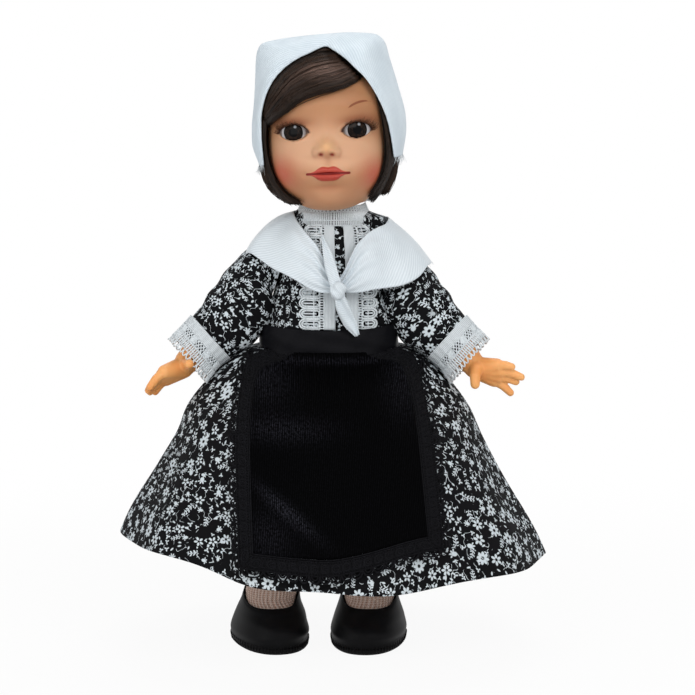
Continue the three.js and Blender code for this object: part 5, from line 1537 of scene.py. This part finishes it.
def makeEdging():
    size = apronSizes
    w = size["lace"]
    inner = size["drop"] - w
    sideLong = inner - size["top"]
    footHalf = float(apronHalf(np.array(inner)) - w)
    total = 2 * sideLong + 2 * footHalf

    def placeOn(u, v):
        # u runs down the doll's right side, along the foot and up its left side; v from the panel outwards
        along = np.clip(u, 0, total)
        after = np.where(along > total - sideLong, total - along, sideLong)
        drop = size["top"] + np.where(along < sideLong, along, after)
        reach = apronHalf(drop) - w
        foot = along - sideLong - footHalf
        isFoot = (along >= sideLong) & (along <= total - sideLong)
        corner = np.clip((np.abs(foot) - (footHalf - 6)) / 6, 0, 1)
        grow = np.clip((drop - (inner - 6)) / 6, 0, 1)
        x = np.where(isFoot, foot * (1 + v / footHalf * corner), np.sign(foot) * (reach + v))
        d = np.where(isFoot, inner + v, drop + v * grow)
        x = x + apronMid(d)
        points = skirtFront(x, d, 0.55)
        wave = apronWave(x, d).clip(-0.2) * 0.7 + 0.3 * np.sin(u * 0.9) * (v / w)
        normal = unit(np.stack([x / 75 ** 2, points[..., 1] / 66 ** 2, 0.012 + 0 * x], -1))
        return points + normal * wave[..., None], normal

    p = total / size["repeats"]
    rows = ((0.3, 1.6), (1.0, 1.3), (2.2, 1), (3.4, 1), (4.6, 1), (5.8, 1.2))
    drawing = [(straight((0, v), (p, v), 6), k) for v, k in rows]
    for k in range(4):
        a, b = p * k / 4, p * k / 4 + p / 4
        drawing += [(straight((a, 1), (b, 5.8), 6), 0.9), (straight((b, 1), (a, 5.8), 6), 0.9)]
    drawing += [
        (arc((p / 2, 5.8), p * 0.48, w - 5.9, 180, 0, 11), 1.7),
        (arc((p / 2, 5.8), p * 0.3, w - 7.1, 180, 0, 9), 1.4),
        (arc((p / 2, 3.4), p * 0.3, 1.5, 0, 360, 13), 1.7),
        (arc((p / 2, 3.4), p * 0.14, 0.7, 0, 360, 9), 1.7),
    ]
    batches = laceBatches(drawing, p, size["repeats"], placeOn, size["thread"])
    lace = tubePiece("apronThreads", batches, 4)
    u, v = np.meshgrid(np.linspace(0, total, 300), np.linspace(0, 6.2, 8), indexing="ij")
    points, normals = placeOn(u, v)
    net = gridPiece("apronNet", points - normals * 0.25, uv=np.stack([u, v], -1), flip=True)
    thicken(net, 0.2, 0)
    return trim("apronLace", ((net, blackTape), (lace, blackThread)), "torso", "apron_lace")


def makeApron():
    panel, edging = makePanel(), makeEdging()


def makeBand():
    size = apronSizes
    angle = turned(260)
    turn = angle[None]
    z = np.linspace(size["bandHigh"], size["bandLow"], 26)
    rise = z - bodySizes["hipZ"]
    mid = (z[:, None] - size["bandLow"]) / (size["bandHigh"] - size["bandLow"])
    puff = 0.45 * np.sin(math.pi * mid) + 0.16 * np.sin(5 * turn + 9 * mid)
    puff = puff + 0.12 * np.sin(13 * turn - 5 * mid)
    out = size["bandOut"] + puff + 2.4 * np.sin(turn) ** 2
    grid = torsoPoint(turn, rise[:, None] + 0 * turn, out)
    grid[..., 2] += 1.4 * mid * np.sin(turn) ** 2
    band = gridPiece("apronBand", grid, True, wrapUV(angle, z, 24))
    thicken(band, 0.7, -1)
    fit(band, finishes["satin"], "torso", "black_satin", "apron_band")


bowSizes = {"knot": (0, 26.3, 126.2), "half": (4.3, 2.9, 4.8), "thick": 0.5}


def makeBow():
    knot = np.array(bowSizes["knot"])
    thick = bowSizes["thick"]
    parts = [knotBall("apronBow", knot, bowSizes["half"], 2, 4)]
    for side in sides.values():
        loop = [knot + [side * 1.5, 0, 0.5], knot + [side * 9, 2.6, 3], knot + [side * 17.5, 1.2, 2.5],
                knot + [side * 18.5, -1.2, 1], knot + [side * 10, -2, -1], knot + [side * 1.5, -0.4, -1]]
        wide = [5, 9.5, 10.5, 10.5, 9, 5]
        parts.append(ribbon("bowLoop", loop, wide, thick, [0, 0.25, 1], 0.35, side))
        ends = []
        for drop, x in ((3, 1.5), (8, 5), (14, 7.5), (24, 11.5), (39.5, 17)):
            wide, deep, depth, square = skirtRow(np.array(float(drop)))
            y = (deep + depth + 2.4) * (1 - (x / (wide + 3)) ** square) ** (1 / square)
            ends.append([side * x, float(y), bodySizes["waistZ"] - drop])
        ends[0] = knot + [side * 1.5, 1.2, -1.5]
        parts.append(ribbon("bowTail", ends, [4.5, 8, 9.5, 10, 10.5], thick, [0, 1, 0.4], 0.3, side))
    bow = joinAll("apronBow", parts)
    fit(bow, finishes["satin"], "torso", "black_satin", "apron_bow")


makeApron()
makeBand()
makeBow()
print("apron done")


# Shawl: a folded satin band round the shoulders, knotted in front

shawlSizes = {
    # degrees from the front, then reach and rise of the inner edge, the middle and the outer edge
    "sections": [[0, 20.3, 0.5, 22.4, -5, 22.6, -11], [6, 20.5, 2, 22.2, -4.4, 22.8, -10.8],
                 [25, 20.5, 9.4, 23.2, 1.2, 25, -9.6], [50, 18.8, 16, 25.6, 7, 30.6, -6],
                 [62, 18.2, 18, 27.4, 10, 33.8, -2.4], [76, 17.6, 20, 29, 13.2, 36.4, 3.2],
                 [95, 17, 20.4, 29.4, 13.8, 36.6, 3.4], [125, 16.4, 19.4, 25.5, 12.5, 32.5, 2],
                 [152, 16, 18, 20.6, 8, 22.6, -7], [180, 15.8, 17.5, 19, 5, 19.8, -16]],
    "slip": 3.2, "knot": (3.6, -26.2, 147.8), "knotHalf": (3.1, 2.5, 3.6), "thick": 0.5, "fray": 85,
    "blendFrom": 23, "blendTo": 40, "blendZ": 0.15,
}


def shawlPoint(around, share, extra):
    near = np.degrees(np.abs(around))
    row = smoothRead(shawlSizes["sections"], near)
    outer = ease(30, 70, near) * ease(125, 100, near)
    onLeft = (np.asarray(around) > 0)[..., None]
    up = row[..., 0:2] + np.where(onLeft, outer[..., None] * [3.4, -2.4], 0)
    mid = row[..., 2:4] + np.where(onLeft, outer[..., None] * [0.9, -4.7], 0)
    lift = ease(12, 48, near) * ease(84, 60, near)
    low = row[..., 4:6] + np.where(onLeft, outer[..., None] * [1.4, -3.4], lift[..., None] * [-0.6, 4.2])
    control = 2 * mid - (up + low) / 2
    t = share[..., None]
    at = up * (1 - t) ** 2 + 2 * control * t * (1 - t) + low * t * t
    lead = unit(2 * (control - up) * (1 - t) + 2 * (low - control) * t)
    out = at[..., 0] - lead[..., 1] * extra
    rise = at[..., 1] + lead[..., 0] * extra
    slip = shawlSizes["slip"] * ease(150, 100, near)
    return np.stack([out * np.sin(around) + slip, -out * np.cos(around), bodySizes["shoulderZ"] + rise], -1)


def makeShawlKnot():
    knot = np.array(shawlSizes["knot"])
    parts = [knotBall("shawlKnot", knot + [0.2, -1.0, 0], shawlSizes["knotHalf"], 5, 4)]
    up = [knot + [-0.3, -1.6, 1], knot + [-2.4, 0.6, 8], knot + [-4.2, 4.2, 15], knot + [-6, 7, 21]]
    down = [knot + [0.6, -1.4, -1.5], knot + [2.2, -0.2, -7], knot + [4.6, 1.4, -12.5],
            knot + [7.8, 2.2, -18.2]]
    parts.append(ribbon("shawlEndUp", up, [4.4, 4.6, 3.4, 0.8], 0.3, [0, -1, 0], 0.35, 1))
    parts.append(ribbon("shawlEndDown", down, [3.6, 5.4, 5.2, 1.8], 0.35, [0, -1, 0], 0.5, 2))
    tied = joinAll("shawlKnot", parts)
    return fit(tied, finishes["shawl"], "torso", "white_satin", "shawl_knot")


def shawlGrid(turn):
    knot = np.array(shawlSizes["knot"])
    around = np.radians(turn)
    around = np.where(around > math.pi, around - 2 * math.pi, around)
    share = np.linspace(0, 1, 44)
    a, s = np.meshgrid(around, share)
    near = np.degrees(np.abs(a))
    pleat = 0.75 * np.sin(s * 21 + 2.2 * np.sin(a * 3) + np.sign(a)) * ease(70, 4, near) ** 1.5
    soft = 0.35 * np.sin(7 * a + 3 * s) * np.sin(4 * s + 1) + 0.3 * np.sin(13 * a)
    grid = shawlPoint(a, s, 0.6 + pleat + soft * ease(0, 0.2, s))
    # both ends draw in to the knot
    pull = ease(26, 3, near)[..., None]
    target = knot + (grid - knot) * [0.75, 0.9, 0.42]
    grid = grid * (1 - pull) + target * pull
    grid[..., 1] -= 0.8 * (a > 0) * ease(30, 6, near)
    return grid, flatUV(np.radians(turn)[None] * 26, share[:, None] * 25)


def makeShawl():
    tied = makeShawlKnot()
    turn = np.r_[np.linspace(2, 60, 90), np.linspace(60, 180, 60)[1:], np.linspace(180, 300, 60)[1:],
                 np.linspace(300, 358, 90)[1:]]
    grid, uv = shawlGrid(turn)
    back = int(np.argmin(np.abs(turn - 180)))
    halves = {"left": slice(0, back + 1), "right": slice(back, None)}
    for name, side in sides.items():
        half = grid[:, halves[name]]
        shawl = gridPiece(f"shawlSatin.{name}", half, uv=uv[:, halves[name]])
        thicken(shawl, shawlSizes["thick"], -1)
        # loose threads along the lower edge
        count = shawlSizes["fray"]
        root = half[-1, (dice.random(count) * half.shape[1]).astype(int)]
        sideways = root[:, 0] * 0.02 + 0.3 * dice.normal(size=count)
        aim = np.stack([sideways, root[:, 1] * 0.03, np.full(count, -1.0)], -1)
        long = 0.5 + 0.9 * dice.random(count)
        threads = looseThreads(root, aim, long, [0.06, 0.06, 0.05, 0.02], [0, -1, 0.2])
        fray = tubePiece(f"shawlFray.{name}", [threads], 3)
        fit(shawl, finishes["shawl"], None, "white_satin", "shawl")
        fit(fray, whiteThread, None, "white_satin")
        for piece in (shawl, fray):
            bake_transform(piece)


makeShawl()
print("shawl tied")


# Arms and hands: rounded limbs melted together

armSizes = {
    "voxel": 0.42, "smooth": 9, "elbow": 25.5, "wrist": 50.0, "heel": 53.0,
    "left": {"knuckles": [(67.4, -12.6, 116.2), (68.8, -11.6, 113.8), (68.4, -10, 111.4),
                          (66.8, -8.4, 109.6)],
             "tips": [(73.4, -14.2, 115.8), (77.4, -12.6, 111.4), (75.4, -10.6, 109.2), (73.4, -8.4, 104.4)],
             "thumb": [(59.2, -12.6, 115), (58.6, -15.4, 112.4), (58.6, -16.4, 109)]},
    "right": {"knuckles": [(-65.6, -17.6, 114.2), (-66.6, -15.6, 112.6), (-66.6, -13.4, 111.2),
                           (-65.6, -11.2, 110.4)],
              "tips": [(-71.2, -21.6, 108.6), (-72, -19.2, 107), (-71.6, -16.6, 106), (-69.8, -13.6, 105.6)],
              "thumb": [(-57.2, -13, 116.6), (-56.2, -16.4, 117.6), (-55.6, -19.4, 117.6)]},
}


def limb(parts, a, b, radiusA, radiusB):
    a, b = np.array(a, float), np.array(b, float)
    steps = max(3, int(np.linalg.norm(b - a) / (0.35 * min(radiusA, radiusB))))
    for t in np.linspace(0, 1, steps):
        parts.append((a + (b - a) * t, radiusA + (radiusB - radiusA) * t))


def meltedPiece(name, balls):
    # spheres set close along each limb are joined, remeshed into one skin and smoothed
    bpy.ops.object.select_all(action="DESELECT")
    bpy.ops.mesh.primitive_ico_sphere_add(subdivisions=3, radius=1)
    seed = bpy.context.object
    seed.name = seed.data.name = name
    unitPoints = np.array([v.co for v in seed.data.vertices])
    faces = np.array([p.vertices[:] for p in seed.data.polygons])
    bpy.data.objects.remove(seed)
    points = np.concatenate([unitPoints * r + c for c, r in balls])
    allFaces = np.concatenate([faces + k * len(unitPoints) for k in range(len(balls))])
    piece = addMesh(name, points, [allFaces])
    modify(piece, "REMESH", mode="VOXEL", voxel_size=armSizes["voxel"] * mm, use_smooth_shade=True)
    modify(piece, "SMOOTH", factor=0.5, iterations=armSizes["smooth"])
    return piece


def makeArms():
    for name, side in sides.items():
        hand = armSizes[name]
        balls = []
        shoulder = alongArm(side, np.array(0.0))
        elbow, wrist, heel = [alongArm(side, np.array(armSizes[key])) for key in ("elbow", "wrist", "heel")]
        limb(balls, shoulder, shoulder, 6.8, 6.8)
        limb(balls, shoulder, elbow, 6.6, 6.8)
        limb(balls, elbow, wrist, 6.8, 5.1)
        for root, tip in zip(hand["knuckles"], hand["tips"]):
            limb(balls, heel, root, 4.5, 2.9)
            root, tip = np.array(root), np.array(tip)
            bend = root + (tip - root) * 0.5 + [side * 0.3, -0.5, 0.4]
            limb(balls, root, bend, 2.1, 1.9)
            limb(balls, bend, tip, 1.9, 1.55)
        a, b, c = hand["thumb"]
        limb(balls, heel, a, 4.0, 3.0)
        limb(balls, a, b, 2.6, 2.3)
        limb(balls, b, c, 2.3, 1.95)
        arm = meltedPiece(f"armVinyl.{name}", balls)
        fit(arm, finishes["limb"], f"arm_{name}", "vinyl_limb", f"arm_{name}")


makeArms()
print("arms done")


# Legs, socks and shoes

shoeSizes = {
    "sockTop": 50, "sockRibs": 42, "rib": 1.5, "sideTop": 21.8, "throat": 16.8, "welt": 2.3, "outlineZ": 6.6,
    "stitches": 74,
    # height, then how far outside the foot: the sole's rim and a stitch
    "sole": [(2.5, 2.6), (2.45, 2.95), (2.0, 3.1), (1.1, 3.1), (0.45, 2.85), (0.06, 2.3), (0.0, 1.6)],
    "stitch": [(3.6, 3.5), (2.9, 3.5), (2.1, 3.36), (1.4, 3.25), (0.9, 3.15)],
}


def legPoint(side, angle, z, extra):
    row = smoothRead(bodySizes["leg"], z - bodySizes["legBottom"])
    lean = bodySizes["hipOut"] - bodySizes["ankleOut"]
    middle = side * (bodySizes["ankleOut"] + lean * z / bodySizes["hipZ"])
    middle = middle + (1.6 * side - 4.7) * (1 - z / bodySizes["hipZ"])
    ahead = row[..., 1] * (1 - 0.07 * ease(19, 13, z))
    foot = ease(20, 13, z)
    x, y = ringXY(angle, (row[..., 0] + extra) * (1 + 0.07 * foot), ahead + extra, row[..., 2] + extra, 2.2)
    turn = np.radians(bodySizes["toeIn"]["left" if side > 0 else "right"]) * foot
    x, y = x * np.cos(turn) - y * np.sin(turn), x * np.sin(turn) + y * np.cos(turn)
    return np.stack([x + middle, y, z + 0 * x], -1)


def soleLines(side, angle, rows):
    # the outline of the foot, grown and set at the height of each row
    outline = np.full(angle.shape, shoeSizes["outlineZ"])
    return [legPoint(side, angle, outline, extra) * [1, 1, 0] + [0, 0, z] for z, extra in rows]


def makeLeg(name, side):
    angle = turned(72)
    z = np.r_[np.linspace(104, 96, 6), np.linspace(95, 6, 70)[1:], 4.4, 3.7]
    skin = legPoint(side, angle[None], z[:, None], 0)
    skin[:6] = skin[:6] * [1, 0.9, 1]
    leg = closedRings(f"legVinyl.{name}", skin)
    fit(leg, finishes["limb"], f"leg_{name}", "vinyl_limb", f"leg_{name}")


def makeSock(name, side):
    ribs = shoeSizes["sockRibs"]
    angle = turned(ribs * 8)
    z = np.linspace(shoeSizes["sockTop"], 5, 90)
    wrinkle = 0.15 * np.sin(z * 1.2 + 0.6)[:, None] * ease(26, 18, z)[:, None]
    ripple = 0.16 * np.cos(ribs * angle)[None] + wrinkle
    roll = 0.35 * ease(47.5, 49.5, z)[:, None]
    grid = legPoint(side, angle[None], z[:, None], 1.0 + ripple + roll)
    uv = wrapUV(angle, z, ribs * shoeSizes["rib"] / (2 * math.pi))
    sock = gridPiece(f"sockKnit.{name}", grid, True, uv)
    thicken(sock, 0.5, -1)
    fit(sock, finishes["sock"], f"leg_{name}", "sock_knit", f"sock_{name}")


def makeUpper(name, side):
    # the edge is turned in at the opening
    size = shoeSizes
    angle = turned(150)
    top = size["sideTop"] - (size["sideTop"] - size["throat"]) * ease(-0.35, 1, np.cos(angle))
    h = np.linspace(1, 0, 44)
    z = size["welt"] + (top - size["welt"])[None] * h[:, None]
    flare = 1.3 * ease(15, 3, z)
    crease = 0.3 * np.sin(0.8 * z + 2.5 * angle[None]) * hill(angle[None] - 0.3, z - 9, 0.8, 4)
    edge = -0.3 * ease(0.9, 1, h)[:, None]
    grid = legPoint(side, angle[None], z, 2.45 + flare + crease + edge)
    upper = gridPiece(f"shoeUpper.{name}", grid, True)
    thicken(upper, 0.9, -1)
    fit(upper, finishes["shoe"], f"leg_{name}", "shoe", f"shoe_upper_{name}")


def makeSole(name, side):
    rings = np.stack(soleLines(side, turned(120), shoeSizes["sole"]))
    sole = closedRings(f"shoeSole.{name}", rings)
    fit(sole, finishes["sole"], f"leg_{name}", "shoe_sole", f"shoe_sole_{name}")
    # stitches over the welt
    at = 2 * math.pi * np.arange(shoeSizes["stitches"]) / shoeSizes["stitches"]
    path = np.stack(soleLines(side, at, shoeSizes["stitch"]), 1)
    outward = unit(path - path.mean((0, 1)))
    stitch = tubePiece(f"shoeStitch.{name}", [(path, outward, 0.17)], 4)
    fit(stitch, finishes["sole"], f"leg_{name}", "shoe_sole")


for name, side in sides.items():
    makeLeg(name, side)
    makeSock(name, side)
    makeUpper(name, side)
    makeSole(name, side)
print("legs, socks and shoes done")


# Studio

studioSizes = {
    "floor": 6, "worldLight": 0.34, "aimZ": 0.13,
    # place, size and power
    "lamps": {"key": ((0.45, -0.9, 0.72), 0.7, 5.4), "fill": ((-0.75, -0.7, 0.45), 0.8, 3.2),
              "top": ((0.1, 0.35, 0.95), 0.7, 3.0), "glint": ((-0.1, -0.8, 0.56), 0.06, 0.5)},
    "camera": (0.0075, -0.841, 0.231), "tilt": 7.4, "sensor": 36, "focal": 2082, "picture": 695,
}


def makeFloor():
    bpy.ops.object.select_all(action="DESELECT")
    bpy.ops.mesh.primitive_plane_add(size=studioSizes["floor"], location=(0, 0, 0))
    floor = bpy.context.object
    floor.name = "studioFloor"
    ground = Finish("studioFloor", Base_Color=(0.9, 0.9, 0.9, 1), Roughness=0.9, Specular_IOR_Level=0.0)
    x, y, _ = ground.split(ground.place())
    far = ground.maths("SQRT", x * x + y * y).rise(0.1, 0.42)
    path = ground.node("ShaderNodeLightPath")
    mirrored = ground.maths("MAXIMUM", path.out("Is Glossy Ray"), path.out("Is Transmission Ray"))
    seen = ground.maths("MAXIMUM", path, mirrored)
    glow = ground.node("ShaderNodeEmission", None, {"Color": (1, 1, 1, 1), "Strength": 1.0})
    shaders = {0: seen * (0.93 + 0.07 * far), 1: Wire(ground, ground.shader.outputs[0]), 2: glow}
    blend = ground.node("ShaderNodeMixShader", None, shaders)
    ground.tree.links.new(blend.socket, ground.tree.nodes["Material Output"].inputs["Surface"])
    floor.data.materials.append(ground.material)


def makeWorld():
    # white to the camera, dimmer as a light
    world = bpy.data.worlds.new("studioWorld")
    bpy.context.scene.world = world
    world.use_nodes = True
    tree = world.node_tree
    light = tree.nodes.new("ShaderNodeLightPath")
    adds = []
    for first, second in (("Is Camera Ray", "Is Glossy Ray"), (None, "Is Transmission Ray")):
        node = tree.nodes.new("ShaderNodeMath")
        node.operation = "MAXIMUM"
        tree.links.new(light.outputs[first] if first else adds[0].outputs[0], node.inputs[0])
        tree.links.new(light.outputs[second], node.inputs[1])
        adds.append(node)
    level = tree.nodes.new("ShaderNodeMapRange")
    level.inputs["To Min"].default_value = studioSizes["worldLight"]
    level.inputs["To Max"].default_value = 1.0
    tree.links.new(adds[1].outputs[0], level.inputs["Value"])
    tree.links.new(level.outputs[0], tree.nodes["Background"].inputs["Strength"])
    tree.nodes["Background"].inputs["Color"].default_value = (1, 1, 1, 1)


def makeLamps():
    for name, (place, size, power) in studioSizes["lamps"].items():
        bpy.ops.object.light_add(type="AREA", location=place)
        lamp = bpy.context.object
        lamp.name = f"lamp.{name}"
        lamp.data.size, lamp.data.energy = size, power
        lamp.rotation_mode = "QUATERNION"
        aim = lamp.location * -1
        aim.z += studioSizes["aimZ"]
        lamp.rotation_quaternion = aim.to_track_quat("-Z", "Y")


def makeCamera():
    size = studioSizes
    tilt = math.radians(90 - size["tilt"])
    bpy.ops.object.camera_add(location=size["camera"], rotation=(tilt, 0, 0))
    camera = bpy.context.object
    camera.data.sensor_width = size["sensor"]
    camera.data.lens = size["sensor"] * size["focal"] / size["picture"]
    camera.data.clip_start, camera.data.clip_end = 0.01, 20
    bpy.context.scene.camera = camera
    bpy.context.scene.view_settings.view_transform = "Standard"


makeFloor()
makeWorld()
makeLamps()
makeCamera()
